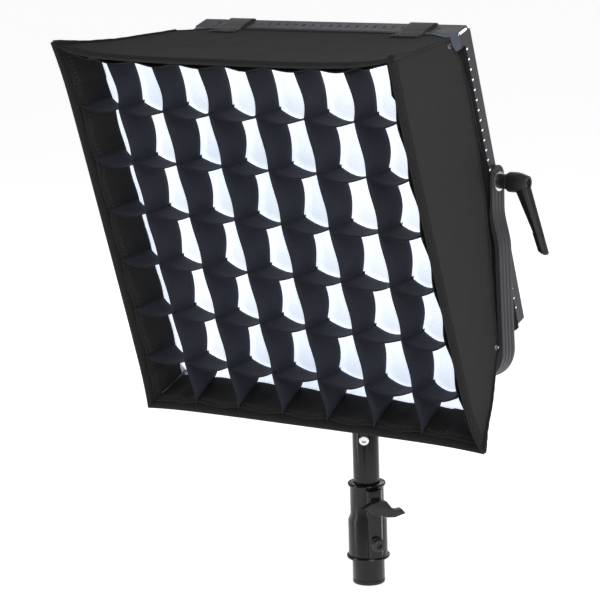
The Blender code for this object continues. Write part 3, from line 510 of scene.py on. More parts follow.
def glowing(name, colour, strength):
    made = Finish(name, colour, 0.4)
    made.set("Emission Color", (*colour, 1.0))
    spots = made.noise(25, 2, 0.5)
    level = made.ramp(spots, strength * 0.9, strength * 1.1)
    made.tree.links.new(level, made.shader.inputs["Emission Strength"])
    made.tint(spots, 0.9, 1.0)
    made.bump(made.noise(300, 2), 0.0001, 0.3)
    return made


def board_finish():
    """White solder mask with rows of small yellow LEDs and copper-coloured tracks."""
    made = Finish("led_board_face", (0.75, 0.76, 0.76), 0.45)
    split = made.node("SeparateXYZ", {"Vector": made.place("Object")})
    u = made.math("SINE", made.math("MULTIPLY", split.outputs[0], tau / 0.012))
    v = made.math("SINE", made.math("MULTIPLY", split.outputs[2], tau / 0.012))
    spots = made.math("GREATER_THAN", made.math("MULTIPLY", u, v), 0.72)
    colours = made.node("Mix", {"Factor": spots}, data_type="RGBA")
    colours.inputs[6].default_value = (0.70, 0.71, 0.70, 1.0)
    colours.inputs[7].default_value = (0.85, 0.62, 0.12, 1.0)
    made.tree.links.new(colours.outputs[2], made.shader.inputs["Base Color"])
    made.bump(spots, 0.0004, 0.8)
    made.rough(made.noise(80), 0.35, 0.55)
    return made


def glass_finish():
    made = Finish("display_glass", (0.010, 0.013, 0.018), 0.07, Coat_Weight=0.6, Coat_Roughness=0.03)
    smears = made.noise(60, 3, 0.6, (1, 1, 3))
    made.rough(smears, 0.04, 0.16)
    made.tint(smears, 0.8, 1.3)
    return made


MATERIALS = {
    "fabric": woven("outer_fabric", (0.0225, 0.0212, 0.0215), 0.90, 0.0009, sheen=0.05),
    "hem": woven("hem_fabric", (0.0110, 0.0106, 0.0108), 0.86, 0.0008, sheen=0.05),
    "seam": woven("seam_binding", (0.0165, 0.0156, 0.0157), 0.84, 0.0012, sheen=0.06, source="Object"),
    "thread": woven("sewing_thread", (0.030, 0.029, 0.028), 0.60, 0.0006, sheen=0.1, source="Object"),
    "grid": woven("grid_cloth", (0.0150, 0.0160, 0.0240), 0.76, 0.0013, twill=True, sheen=0.12),
    "edge": woven("cut_edge", (0.007, 0.007, 0.008), 0.9, 0.0006, sheen=0.0, source="Object"),
    # Near-black, darker than the other cloths: painted shade for the skirt in the gap behind the skin.
    "elastic": woven("elastic_skirt_painted_shade", (0.0048, 0.0048, 0.0052), 0.92, 0.0008, sheen=0.0, tint=(0.8, 1.2)),
    "silver": silver_finish(),
    "cloth": diffuser_finish(),
    "webbing": webbing_finish(),
    "charcoal": painted("charcoal_powder_coat", (0.030, 0.030, 0.036), 0.46, 2600, 0.1),
    "plastic": painted("black_plastic", (0.009, 0.009, 0.010), 0.40, 3200, specular=0.4),
    "soft_plastic": painted("knob_plastic", (0.022, 0.022, 0.024), 0.55, 2400),
    "gloss": painted("gloss_black_paint", (0.006, 0.006, 0.007), 0.20, 900, specular=0.32),
    "black_metal": painted("black_metal", (0.022, 0.022, 0.024), 0.36, 1800, 0.3),
    "zinc": metal_finish("bright_zinc", (0.80, 0.80, 0.78), 0.24),
    "steel": metal_finish("dark_steel", (0.20, 0.20, 0.21), 0.34),
    "rod": metal_finish("spring_rod_steel", (0.10, 0.10, 0.105), 0.38, (1, 12, 1)),
    "opal": glowing("opal_plate", (0.90, 0.95, 1.0), 1.2),
    "board": board_finish(),
    "glass": glass_finish(),
    "ink": glowing("display_segments", (0.55, 0.80, 1.0), 0.5),
    "marks": painted("dial_marks", (0.60, 0.60, 0.60), 0.55, 2000),
}
for key in MATERIALS:
    MATERIALS[key] = MATERIALS[key].material


# ---------------------------------------------------------------- the shape of the skin


def depth_share(y):
    return (y - FRONT_Y) / (REAR_Y - FRONT_Y)


def on_face(face, x, y):
    """A point on the top or bottom skin at a distance x from the middle."""
    return skin(face, x / mix(FRONT_HALF, REAR_HALF, depth_share(y)), y)


def ear_share(y):
    """How much of a corner's ear is left at depth y."""
    return max(1 - max(y - FRONT_Y, 0) / EAR_DEPTH, 0) ** 1.4


def corner(side, level, y, inset=0.0):
    """A point on one of the four corner seams at depth y."""
    share = depth_share(y)
    x = side * (mix(FRONT_HALF, REAR_HALF, share) - inset)
    z = mix(FRONT_TOP, REAR_TOP, share) - inset if level > 0 else mix(FRONT_BOTTOM, -REAR_TOP, share) + inset
    base, ear = CORNERS[(side, level)]
    point = Vector((x, y, z)) + base * max(1 - share * 1.6, 0) + ear * ear_share(y)
    if level < 0:
        point.z += REAR_LIFT * smoothstep((y - LIFT_START_Y) / (LIFT_END_Y - LIFT_START_Y))
    return point


def skin(face, share, y, inset=0.0, ripple=True):
    """A point on the outer skin. The share runs from -1 to 1 between corner seams, rightwards or upwards."""
    depth = min(max(depth_share(y), 0), 1)
    slack = 1 - abs(share) ** SAG_POWER
    if face in ("top", "bottom"):
        level = 1 if face == "top" else -1
        ends = (corner(-1, level, y, inset), corner(1, level, y, inset))
        inward = Vector((0, 0, -level))
        bow = TOP_SAG if level > 0 else BOTTOM_SAG
    else:
        side = 1 if face == "right" else -1
        ends = (corner(side, -1, y, inset), corner(side, 1, y, inset))
        inward = Vector((-side, 0, 0))
        bow = SIDE_BOW
    half = (share + 1) / 2
    # The ears stay at the corners: away from them the edge runs straight.
    pull = 1 - slack
    straight = []
    for end, position in zip(ends, (half, 1 - half)):
        side = 1 if end.x > 0 else -1
        level = 1 if end.z > 0 else -1
        ear = CORNERS[(side, level)][1] * ear_share(y)
        reach = max(1 - position * 2 * FRONT_HALF / EAR_WIDTH, 0) ** 2
        straight.append(end - ear * (1 - reach))
    point = straight[0].lerp(straight[1], half)
    point += inward * bow * slack * (1 - depth)
    if ripple:
        hollow = sin(pi * depth) * slack * HOLLOW
        fold = wobble(share * 4.5 + FACES.index(face) * 7, y * 16, 2.0) * 0.0009
        fold += wobble(share * 11, y * 34, 5.0 + FACES.index(face)) * 0.0004
        point += inward * (hollow + fold * sin(pi * depth) ** 0.5 * slack)
    return point


def ring(y, inset, steps=28, wave=None):
    """A loop of points round the mouth at a depth, clockwise in a front view from the top left."""
    points = []
    for face, start, end in ROUND:
        for step in range(steps):
            # The points gather towards the corners, where the edge curves most.
            even = step / steps
            share = mix(start, end, mix(even, (1 - cos(pi * even)) / 2, 0.6))
            extra = wave(face, share) if wave else 0.0
            point = skin(face, share, y, inset, ripple=False)
            if extra:
                point += Vector(INWARD[face]) * extra
            points.append(point)
    return points


def panel_rows(face, across=56, deep=30):
    """The grid of points of one fabric side, from the mouth to its scooped rear edge."""
    rows = []
    for step in range(deep + 1):
        row = []
        for index in range(across + 1):
            even = index / across
            share = mix(-1, 1, mix(even, (1 - cos(pi * even)) / 2, 0.5))
            start = FRONT_Y + 0.001
            y = mix(start, follow(REAR_EDGES[face], share), step / deep)
            row.append(skin(face, share, y))
        rows.append(row)
    return rows


def fabric_panels():
    """Four tapered sides, black outside and silver inside."""
    for face in FACES:
        cloth(
            f"panel_{face}", panel_rows(face), ("fabric", "silver"), PANEL_THICK,
            (f"fabric_{face}",), ("light_housing", "front_hem"),
            offset=-1.0, flip=face in ("bottom", "right"), smooth=60,
        )


def rear_binding():
    """The elastic rolled edge round the rear opening."""
    path = []
    steps = 36
    for face, start, end in ROUND:
        for step in range(steps):
            share = mix(start, end, step / steps)
            path.append(skin(face, share, follow(REAR_EDGES[face], share), 0.0003))
    bm = tube(bmesh.new(), path, 0.0014, 8, closed=True)
    link("rear_binding", bm, "seam", smooth=0)


def rear_shade_skirt():
    """The black elastic that closes the scooped sides and bottom onto the light's rim; its near-black colour
    is painted shade for the shaded gap between the skin and the light.
    """
    edge = []
    rim = []
    steps = 40
    grip = LIGHT_HALF + 0.0006
    for face, start, end in (("right", 0.9, -1), ("bottom", 1, -1), ("left", -1, 0.9)):
        for step in range(steps + 1):
            share = mix(start, end, step / steps)
            edge.append(skin(face, share, follow(REAR_EDGES[face], share) - 0.0006, 0.0010))
            place = share * grip
            out = -Vector(INWARD[face]) * grip
            rim.append(out + Vector((place, 0, 0) if face == "bottom" else (0, 0, place)))
    rows = [edge]
    lip = LIGHT_LOW.y + 0.0012
    for share in (0.12, 0.30, 0.5, 0.7, 0.88, 1.0):
        row = []
        for start, (x, _, z) in zip(edge, rim):
            end = Vector((x, lip, z))
            middle = start.lerp(end, share)
            hollow = 0.05 * (start - end).length * sin(pi * share)
            middle -= Vector((x, 0, z)).normalized() * hollow
            row.append(middle)
        rows.append(row)
    rows.append([Vector((x, lip + 0.0040, z)) for x, _, z in rim])
    cloth("rear_shade_skirt", rows, "elastic", SKIRT_THICK, (), ("light_housing",), smooth=60)


SEAM_RADIUS = 0.0015
SEAM_SWELL = 0.0017
SWELL_SHARE = 0.30
ROD_RADIUS = 0.0015
ROD_INSET = 0.0064


def corner_seams():
    """A bound seam down each corner, thick and puckered where the layers meet at the mouth."""
    for name, side, level in (("tl", -1, 1), ("tr", 1, 1), ("bl", -1, -1), ("br", 1, -1)):
        rear = TOP_REAR[0][1] if level > 0 else BOTTOM_REAR[0][1]
        path = [corner(side, level, mix(FRONT_Y + 0.002, rear, k / 48), -0.0002) for k in range(49)]

        def thickness(share, seed=side * 3 + level):
            pucker = wobble(share * 26, seed, 0.5) * 0.00035
            return SEAM_RADIUS + SEAM_SWELL * (1 - smoothstep(share / SWELL_SHARE)) + pucker

        bm = tube(bmesh.new(), path, thickness, 12)
        link(f"corner_seam_{name}", bm, "seam", smooth=0)

        rod = [corner(side, level, mix(FRONT_Y + 0.012, rear + 0.001, k / 30), ROD_INSET) for k in range(31)]
        bm = tube(bmesh.new(), rod, ROD_RADIUS, 12)
        link(f"bent_rod_{name}", bm, "rod", replaces=(f"corner_rod_{name}",))

        face = "right" if side > 0 else "left"
        place = skin(face, level * 0.955, rear - 0.004)
        outward = Vector((side, 0.25, 0.1 * level)).normalized()
        bm = bmesh.new()
        profile = [(0.0011, 0.0002), (0.0011, 0.0011), (0.0018, 0.0015), (0.0027, 0.0012), (0.0030, 0.0002)]
        lathe(bm, profile, place, outward, 24)
        lathe(bm, [(0, 0.0004), (0.0011, 0.0004)], place, outward, 24)
        link(f"corner_eyelet_{name}", bm, "steel")


# The hem's section from its rear edge round to the facing inside: (depth behind the mouth, inset).
HEM_SECTION = [(0.0125, -0.0001), (0.0120, -0.0009), (0.0100, -0.0013), (0.0085, -0.0012)]
HEM_SECTION += [(0.0076, -0.0004), (0.0068, -0.0011), (0.0050, -0.0017), (0.0034, -0.0014)]
HEM_SECTION += [(0.0026, -0.0005), (0.0018, -0.0014), (0.0002, -0.0016), (-0.0012, -0.0004)]
HEM_SECTION += [(-0.0014, 0.0012), (-0.0002, 0.0026), (0.0020, 0.0032), (0.0100, 0.0034)]
HEM_SECTION += [(0.0330, 0.0036), (0.0330, 0.0026), (0.0100, 0.0022)]
# Its stitched lines: depth, inset and 1 for the outside or -1 for the inside.
HEM_SEAMS = ((0.0076, -0.0005, 1), (0.0026, -0.0006, 1), (0.0120, 0.0034, -1), (0.0050, 0.0034, -1))


def hem():
    """The turned hem: two ridges with a stitched channel between, rolled over the edge and faced inside."""
    rows = [ring(FRONT_Y + depth, inset) for depth, inset in HEM_SECTION]
    bm = bmesh.new()
    add_faces(bm, rows, closed_rows=True, closed_columns=True, uv=(0.0135, 0.002))
    bmesh.ops.recalc_face_normals(bm, faces=bm.faces)
    obj = link("mouth_hem", bm, "hem", replaces=("front_hem",), smooth=0)
    edge = rows[8]
    length = path_length(edge + edge[:1])
    breadth = sum(hypot(a[0] - b[0], a[1] - b[1]) for a, b in zip(HEM_SECTION, HEM_SECTION[1:]))
    # The section is closed, so the cloth in it is half as wide as the way round.
    declare(obj, (length, breadth), length * breadth * 0.5, "panel_top", "panel_bottom")

    bm = bmesh.new()
    for depth, inset, lift in HEM_SEAMS:
        stitch_ring(bm, ring(FRONT_Y + depth, inset, 40), lift)
    link("hem_stitches", bm, "thread", smooth=0)


# ---------------------------------------------------------------- the grid and the diffusing cloth


def border_wave(face, share):
    """How far the grid's border is pulled in: most where a strip is sewn to it."""
    if face in ("top", "bottom"):
        place = share * FRONT_HALF / CELL_X
    else:
        place = (share * (FRONT_TOP - FRONT_BOTTOM) / 2 - (H_CENTRES[0] + H_CENTRES[-1]) / 2) / CELL_Z
    if abs(place) > 3:
        return BORDER_PULL * 0.4 * (1 - smoothstep((abs(place) - 3) * 2.5))
    grip = 0.5 - 0.5 * cos(tau * place)
    uneven = 1 + 0.35 * wobble(place * 1.1, FACES.index(face) * 5.0)
    return BORDER_PULL * (grip - 0.35) * uneven


def border_inset(y):
    return BORDER_INSET + 0.0010 * (y - GRID_FRONT) / (GRID_BACK - GRID_FRONT)


def grid_border():
    """The band round the grid that the strips are sewn to, with two rows of stitches."""
    rows = []
    depths = 14
    for step in range(depths + 1):
        y = mix(GRID_FRONT + 0.001, GRID_BACK + 0.0015, step / depths)
        share = step / depths

        def wave(face, place, share=share):
            return border_wave(face, place) * mix(1.0, 0.45, share)

        rows.append(ring(y, border_inset(y), 72, wave))
    bm = bmesh.new()
    perimeter = path_length(rows[0] + rows[0][:1])
    breadth = GRID_BACK - GRID_FRONT
    add_faces(bm, rows, closed_columns=True, uv=(perimeter / len(rows[0]), breadth / depths))
    obj = link("grid_border_band", bm, "hem", replaces=("grid_border",), smooth=0)
    thicken(obj, BORDER_THICK, 0)
    declare(obj, (perimeter, breadth), perimeter * breadth, "mouth_hem")

    bm = bmesh.new()
    for depth in (0.0055, 0.0075):
        path = ring(GRID_FRONT + depth, border_inset(GRID_FRONT) + 0.0006, 72, border_wave)
        stitch_ring(bm, path, -1, pitch=0.0040, length=0.0026)
    link("border_stitches", bm, "thread", smooth=0)


def border_end(face, place, y):
    """Where a strip at a given place along a side meets the border."""
    if face in ("top", "bottom"):
        share = place / mix(FRONT_HALF, REAR_HALF, depth_share(y))
    else:
        share = (place - (FRONT_TOP + FRONT_BOTTOM) / 2) / ((FRONT_TOP - FRONT_BOTTOM) / 2)
    point = skin(face, share, y, border_inset(y), ripple=False)
    return point + Vector(INWARD[face]) * border_wave(face, share) * 0.7


def held(place):
    """How freely a level strip's back edge hangs: not at all where it is sewn to the border."""
    return smoothstep((3.5 - abs(place) / CELL_X) / 0.45)


def strip_rows(upright, index, per_cell=10, deep=6):
    """One grid strip as a sheet that bows between its crossings, most at its back edge."""
    centre = V_CENTRES[index] if upright else H_CENTRES[index]
    crossings = H_CENTRES if upright else V_CENTRES
    rows = []
    for d in range(deep + 1):
        depth = d / deep
        y = mix(GRID_FRONT, GRID_BACK, depth)
        if upright:
            lowered = [z - GRID_DROOP * 0.7 * depth for z in crossings]
            stops = [border_end("top", centre, y).z] + lowered + [border_end("bottom", centre, y).z]
        else:
            stops = [border_end("left", centre, y).x] + list(crossings) + [border_end("right", centre, y).x]
        row = []
        for cell in range(CELLS):
            vary = 1 + 0.45 * wobble(cell * 1.7 + 0.3, index * 2.3 + 0.7, 4.0 if upright else 9.0)
            late = 0.10 * wobble(cell * 2.1, index * 1.9, 14.0)
            steps = per_cell if cell < CELLS - 1 else per_cell + 1
            for k in range(steps):
                t = k / per_cell
                place = mix(stops[cell], stops[cell + 1], t)
                hump = sin(pi * min(max(t + late * sin(pi * t), 0), 1))
                sway = sin(tau * t)
                if upright:
                    front, back = [bow * vary for bow in (UPRIGHT_BOW if cell else TOP_CELL_BOW)]
                    shift = mix(front, back, depth ** 0.8) * hump - SWAY * sway * (1 - depth)
                    row.append(Vector((centre + shift, y, place)))
                else:
                    front, back = [bow * vary for bow in LEVEL_BOW]
                    shift = mix(front, back, depth) * hump + SWAY * sway * depth
                    shift += GRID_DROOP * depth * held(place)
                    row.append(Vector((place, y, centre - shift)))
        rows.append(row)
    return rows


def grid_strips():
    """Six upright and six level strips."""
    for upright, letter in ((True, "v"), (False, "h")):
        for index in range(CELLS - 1):
            word = f"strip_{letter}{index + 1}"
            cloth(
                "bowed_" + word, strip_rows(upright, index), ("grid", "edge"), STRIP_THICK,
                ("grid_" + word,), ("grid_border_band",),
            )


def slot_lips():
    """The small lip of cloth that stands up beside each half-lap slot at the grid's back."""
    bm = bmesh.new()
    back = GRID_BACK + 0.0004
    for i, x in enumerate(V_CENTRES):
        for j, z in enumerate(H_CENTRES):
            lean = 0.0009 + 0.0006 * wobble(i * 3.1, j * 2.7)
            tall = 0.0030 + 0.0010 * wobble(i * 1.3 + 4, j * 3.7)
            foot = z - GRID_DROOP - 0.0008
            outline = [(back - 0.0060, foot), (back, foot)]
            outline += [(back + 0.0003, foot + tall), (back - 0.0012, foot + tall * 0.8)]
            sides = []
            for offset in (-STRIP_THICK / 2, STRIP_THICK / 2):
                points = []
                for y, height in outline:
                    leaning = x + 0.0008 + offset + lean * (height - foot) / tall
                    points.append(bm.verts.new((leaning, y, height)))
                sides.append(points)
            bm.faces.new(sides[0])
            bm.faces.new(sides[1][::-1])
            for k in range(4):
                k2 = (k + 1) % 4
                bm.faces.new([sides[0][k], sides[1][k], sides[1][k2], sides[0][k2]])
    bmesh.ops.recalc_face_normals(bm, faces=bm.faces)
    link("grid_slot_lips", bm, "grid", smooth=0)


def diffusing_cloth():
    """The white cloth behind the grid, with a soft billow and drag lines towards its corners."""
    middle_y = (CLOTH_LOW.y + CLOTH_HIGH.y) / 2
    count = 72
    rows = []
    for r in range(count + 1):
        row = []
        level = 1 - 2 * r / count
        for c in range(count + 1):
            across = 2 * c / count - 1
            left, right = [skin(face, level, middle_y, CLOTH_INSET).x for face in ("left", "right")]
            bottom, top = [skin(face, across, middle_y, CLOTH_INSET).z for face in ("bottom", "top")]
            x = mix(left, right, c / count)
            z = mix(top, bottom, r / count)
            edge = 1 - max(abs(across), abs(level))
            drag = wobble((x + z) * 30, (x - z) * 7, 3.0) + wobble((x - z) * 30, (x + z) * 7, 8.0)
            near = max(1 - edge * 5, 0)
            billow = 0.0008 * drag * (0.3 + near)
            y = middle_y + billow + 0.0016 * sin(pi * min(edge * 1.2, 1) / 2)
            # The corners are cut off to clear the rods.
            spare = abs(x) / CLOTH_HIGH.x + abs(z) / CLOTH_HIGH.z - 1.92
            pull = 1 - max(spare, 0) * 0.5
            row.append(Vector((x * pull, y, z * pull)))
        rows.append(row)
    cloth(
        "diffusing_cloth", rows, "cloth", CLOTH_THICK,
        ("diffuser_cloth",), ("grid_border_band",),
    )


STRAP_LIFT = 0.0009
STRAP_BEND = 0.0022


def strap_path(word, level, middle, tail):
    """A strap's middle line: on the skin, over the gap to the light's rim, round it and down its back."""
    rim = LIGHT_HALF + 0.0011
    back = COVER_HIGH.y + 0.0010
    flat = rim - STRAP_BEND
    path = []
    for k in range(11):
        y = mix(REAR_Y - 0.016, REAR_Y - 0.002, k / 10)
        path.append(Vector((middle, y, on_face(word, middle, y).z + level * STRAP_LIFT)))
    path.append(Vector((middle, REAR_Y + 0.004, level * rim)))
    path.append(Vector((middle, 0.000, level * rim)))
    for k in range(6):
        a = pi / 2 * k / 5
        y = back - STRAP_BEND + STRAP_BEND * sin(a)
        path.append(Vector((middle, y, level * (flat + STRAP_BEND * cos(a)))))
    path += [Vector((middle, back, level * mix(flat, tail, k / 8))) for k in range(1, 9)]
    return path


def strap_stitches(bm, word, level, middle, half):
    """The crossed box of stitches that holds a strap on the skin."""
    front, rear = REAR_Y - 0.0145, REAR_Y - 0.004
    corners = [(-half, front), (half, front), (half, rear), (-half, rear)]
    corners += [(-half, front), (half, rear), (half, front), (-half, rear)]
    for (x1, y1), (x2, y2) in zip(corners, corners[1:]):
        line = []
        for k in range(9):
            x = middle + mix(x1, x2, k / 8)
            y = mix(y1, y2, k / 8)
            z = on_face(word, x, y).z + level * (STRAP_LIFT + 0.0007)
            line.append(Vector((x, y, z)))
        stitches(bm, line, [Vector((0, 0, level))] * 8, 0.0034, 0.0022, 0.0003)


def straps():
    """Four webbing straps, sewn to the skin and closed on the light's back."""
    for word, level in (("top", 1), ("bottom", -1)):
        for hand in ("left", "right"):
            low, high = head_box(f"strap_{word}_{hand}")
            middle = (low.x + high.x) / 2
            wide = high.x - low.x
            tail = min(abs(low.z), abs(high.z))
            rows = []
            for point in strap_path(word, level, middle, tail):
                rows.append([point + Vector((wide * (c / 12 - 0.5), 0, 0)) for c in range(13)])
            cloth(
                f"webbing_{word}_{hand}", rows, "webbing", WEBBING_THICK,
                (f"strap_{word}_{hand}",), (f"panel_{word}", "light_housing"), flip=level < 0,
            )
            bm = bmesh.new()
            strap_stitches(bm, word, level, middle, wide / 2 - 0.0030)
            link(f"webbing_stitches_{word}_{hand}", bm, "thread", smooth=0)


# ---------------------------------------------------------------- CAD solids given their finished edges

# Edges with a sharper fold than this many degrees are rounded.
SHARP = 28


def refined(node, finish, body, matrix, width, segments=2):
    """A copy of a CAD solid with welded faces, edges rounded to a width and smooth shading."""
    source = frame["nodes"][node].data
    bm = bmesh.new()
    bm.from_mesh(source)
    bmesh.ops.remove_doubles(bm, verts=bm.verts, dist=2e-6)
    if width:
        bmesh.ops.dissolve_limit(bm, angle_limit=radians(1.0), verts=bm.verts, edges=bm.edges)
    bmesh.ops.transform(bm, matrix=matrix.inverted(), verts=bm.verts)
    bmesh.ops.recalc_face_normals(bm, faces=bm.faces)
    edges = [e for e in bm.edges if len(e.link_faces) == 2 and e.calc_face_angle(0) > radians(SHARP)]
    if width and edges:
        bmesh.ops.bevel(
            bm, geom=edges, offset=width, segments=segments, profile=0.5, affect="EDGES", clamp_overlap=True,
            miter_outer="ARC",
        )
    bmesh.ops.recalc_face_normals(bm, faces=bm.faces)
    link(node + "_finished", bm, finish, body, matrix, replaces=(node,), smooth=SHARP + 4)


def light():
    """The panel light's housing, cover, front plate and boards, with the glow seen through its slots."""
    for node, finish, slot, width in (
        ("light_housing", "charcoal", "charcoal_paint", 0.0),
        ("light_back_cover", "charcoal", "charcoal_paint", 0.0003),
        ("light_front_plate", "opal", "opal_plate", 0.0002),
        ("led_board", "board", "circuit_board", 0.0),
        ("driver_board", "board", "circuit_board", 0.0),
        ("pivot_boss_left", "steel", "dark_steel", 0.0002),
        ("pivot_boss_right", "steel", "dark_steel", 0.0002),
    ):
        refined(node, finish, "head", HEAD, width)

    # A white liner inside the rim glows with the front plate's emission, painted light that makes the slots
    # shine.
    inner = LIGHT_HALF - 0.0019
    rows = []
    for y in (LIGHT_LOW.y + 0.0044, LIGHT_HIGH.y - 0.0008):
        corners = [Vector((x * inner, y, z * inner)) for x, z in ((-1, 1), (1, 1), (1, -1), (-1, -1))]
        row = []
        for a, b in zip(corners, corners[1:] + corners[:1]):
            row += [a.lerp(b, k / 12) for k in range(12)]
        rows.append(row)
    bm = bmesh.new()
    add_faces(bm, rows, closed_columns=True)
    liner = link("rim_glow_liner", bm, "opal", smooth=0)
    thicken(liner, 0.0003, -1)

    # Screws round the back cover.
    bm = bmesh.new()
    spread = LIGHT_HALF - 0.008
    places = [(x, z) for x in (-spread, spread) for z in (-spread, 0.075, -0.075, spread)]
    places += [(x, z) for x in (-0.060, 0.060) for z in (-spread, spread)]
    for x, z in places:
        screw(bm, Vector((x, COVER_HIGH.y, z)), Vector((0, 1, 0)), 0.0026)
    link("cover_screws", bm, "steel")


def screw(bm, place, direction, radius, recess=0.55, height=0.0006):
    """A pan-head screw with a six-sided recess."""
    hole = radius * recess
    profile = [(radius, -0.0002), (radius, height * 0.5), (radius * 0.85, height), (hole, height)]
    lathe(bm, profile, place, direction, 28)
    lathe(bm, [(hole, height), (hole * 0.85, -0.0001), (0, -0.0001)], place, direction, 6)


# A knob's section from its base to its top: (share of its radius, height, depth of the knurls).
KNOB_SECTION = [(0.30, -0.0008, 0), (0.95, 0.0, 0), (1.0, 0.0006, 0), (1.0, 0.0016, 1), (0.995, 0.0108, 1)]
KNOB_SECTION += [(0.96, 0.0120, 0.3), (0.90, 0.0126, 0), (0.86, 0.0124, 0), (0.0, 0.0122, 0)]
KNURLS = 30
KNURL_DEPTH = 0.00035


def knob(word, marks):
    """A knurled knob with a pointer, and the ring of dial marks round it."""
    name = f"{word}_knob"
    low, high = head_box(name)
    centre = (low + high) / 2
    radius = (high.x - low.x) / 2
    reach = radius + 0.003
    for k in range(13):
        a = radians(-150 + 25 * k)
        size = 0.0009 if k in (0, 6, 12) else 0.0005
        place = Vector((centre.x + sin(a) * reach, BOX_HIGH.y, centre.z + cos(a) * reach))
        lathe(marks, [(size, 0), (size, 0.00015), (0, 0.00015)], place, (0, 1, 0), 12)

    base = BOX_HIGH.y + 0.0006
    rows = []
    for share, height, knurl in KNOB_SECTION:
        row = []
        for a in circle(KNURLS * 4):
            groove = KNURL_DEPTH * knurl * (0.5 + 0.5 * cos(a * KNURLS))
            size = max(radius * share - groove, 0.00002)
            row.append(Vector((centre.x + sin(a) * size, base + height, centre.z + cos(a) * size)))
        rows.append(row)
    bm = bmesh.new()
    add_faces(bm, rows, closed_columns=True)
    pointer_foot = (centre.x - 0.0005, base + 0.0118, centre.z + radius * 0.35)
    box(bm, pointer_foot, (centre.x + 0.0005, base + 0.0130, centre.z + radius * 0.85))
    bmesh.ops.recalc_face_normals(bm, faces=bm.faces)
    link(f"knurled_{word}_knob", bm, "soft_plastic", name, replaces=(name,))


def control_box():
    """The box on the light's back: screws, ribs, knobs and their dial marks, display and sockets."""
    refined("control_box", "plastic", "head", HEAD, 0.0008, 3)
    refined("display_window", "glass", "head", HEAD, 0.0002)
    refined("power_inlet", "plastic", "head", HEAD, 0.0003)
    refined("power_rocker", "soft_plastic", "power_rocker", HEAD, 0.0005)
    face = BOX_HIGH.y
    bm = bmesh.new()
    for x in (-0.070, 0.070):
        for z in (BOX_LOW.z + 0.005, BOX_HIGH.z - 0.005):
            screw(bm, Vector((x, face, z)), Vector((0, 1, 0)), 0.0021)
    link("box_screws", bm, "steel")

    bm = bmesh.new()
    for k in range(9):
        x = -0.024 + k * 0.006
        box(bm, (x - 0.0010, face - 0.0003, -0.052), (x + 0.0010, face + 0.0006, -0.028), bevel=0.0003)
    link("cooling_ribs", bm, "plastic")

    marks = bmesh.new()
    for word in ("brightness", "colour"):
        knob(word, marks)
    link("dial_marks", marks, "marks")

    low, high = head_box("display_window")
    bm = bmesh.new()
    y = high.y + 0.00005
    for k in range(10):
        x = low.x + 0.005 + k * 0.0032
        top = low.z + 0.003 + 0.0008 * (k + 1)
        box(bm, (x, y, low.z + 0.0025), (x + 0.0020, y + 0.00008, top))
    link("display_bars", bm, "ink")

    low, high = head_box("power_inlet")
    centre = (low + high) / 2
    pin = [(0.0011, -0.006), (0.0011, -0.0010), (0.0007, -0.0004), (0, -0.0004)]
    bm = lathe(bmesh.new(), pin, Vector((centre.x, high.y, centre.z)), (0, 1, 0), 16)
    link("inlet_pin", bm, "zinc")


YOKE_HALF_WIDTH = 0.0110
YOKE_BEND = 0.030
YOKE_GROOVE = -0.0009
# The bar is thin at the pivots and swells to its full thickness below them.
YOKE_THIN = 0.0031
YOKE_THICK = 0.0052
YOKE_SWELL = 0.030
JOGGLE_TOP = -0.0245
JOGGLE_BOTTOM = -0.0640


def yoke_path(top):
    """The middle of the bar's outer face, from the right arm's end to the left's."""
    low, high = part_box("yoke")
    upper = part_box("washer_right")[0].x - 0.0003
    lower = high.x - 0.0015
    foot = high.x + 0.0010
    base = low.z - PIVOT.z + 0.0018
    bend_top = base + YOKE_BEND
    right = [(upper, top - 0.00002)]
    right += [(upper, top - YOKE_HALF_WIDTH * (1 - cos(pi / 2 * k / 8))) for k in range(1, 9)]
    right.append((upper, -0.015))
    for k in range(15):
        ease = (1 - cos(pi * k / 14)) / 2
        right.append((mix(upper, lower, ease), mix(JOGGLE_TOP, JOGGLE_BOTTOM, k / 14)))
    for k in range(1, 7):
        right.append((mix(lower, foot, k / 6), mix(JOGGLE_BOTTOM, bend_top, k / 6)))
    for k in range(1, 17):
        a = -pi / 2 * k / 16
        right.append((foot - YOKE_BEND + YOKE_BEND * cos(a), bend_top + YOKE_BEND * sin(a)))
    right += [(x, base) for x in (0.10, 0.05, 0.0)]
    half = [Vector((x, 0, z)) for x, z in right]
    return half + [Vector((-p.x, 0, p.z)) for p in half[-2::-1]]


def yoke_section():
    """Shares of the half width, and depths from the outer face, where None is the inner face."""
    section = [(-1.0, -0.0004), (-0.98, -0.0001), (-0.93, 0.0)]
    for start, end in ((-0.66, -0.44), (-0.14, 0.10), (0.40, 0.62)):
        section += [(start, 0.0), (start + 0.06, YOKE_GROOVE), (end - 0.06, YOKE_GROOVE), (end, 0.0)]
    section += [(0.93, 0.0), (0.98, -0.0001), (1.0, -0.0004)]
    return section + [(1.0, None), (0.94, None), (-0.94, None), (-1.0, None)]


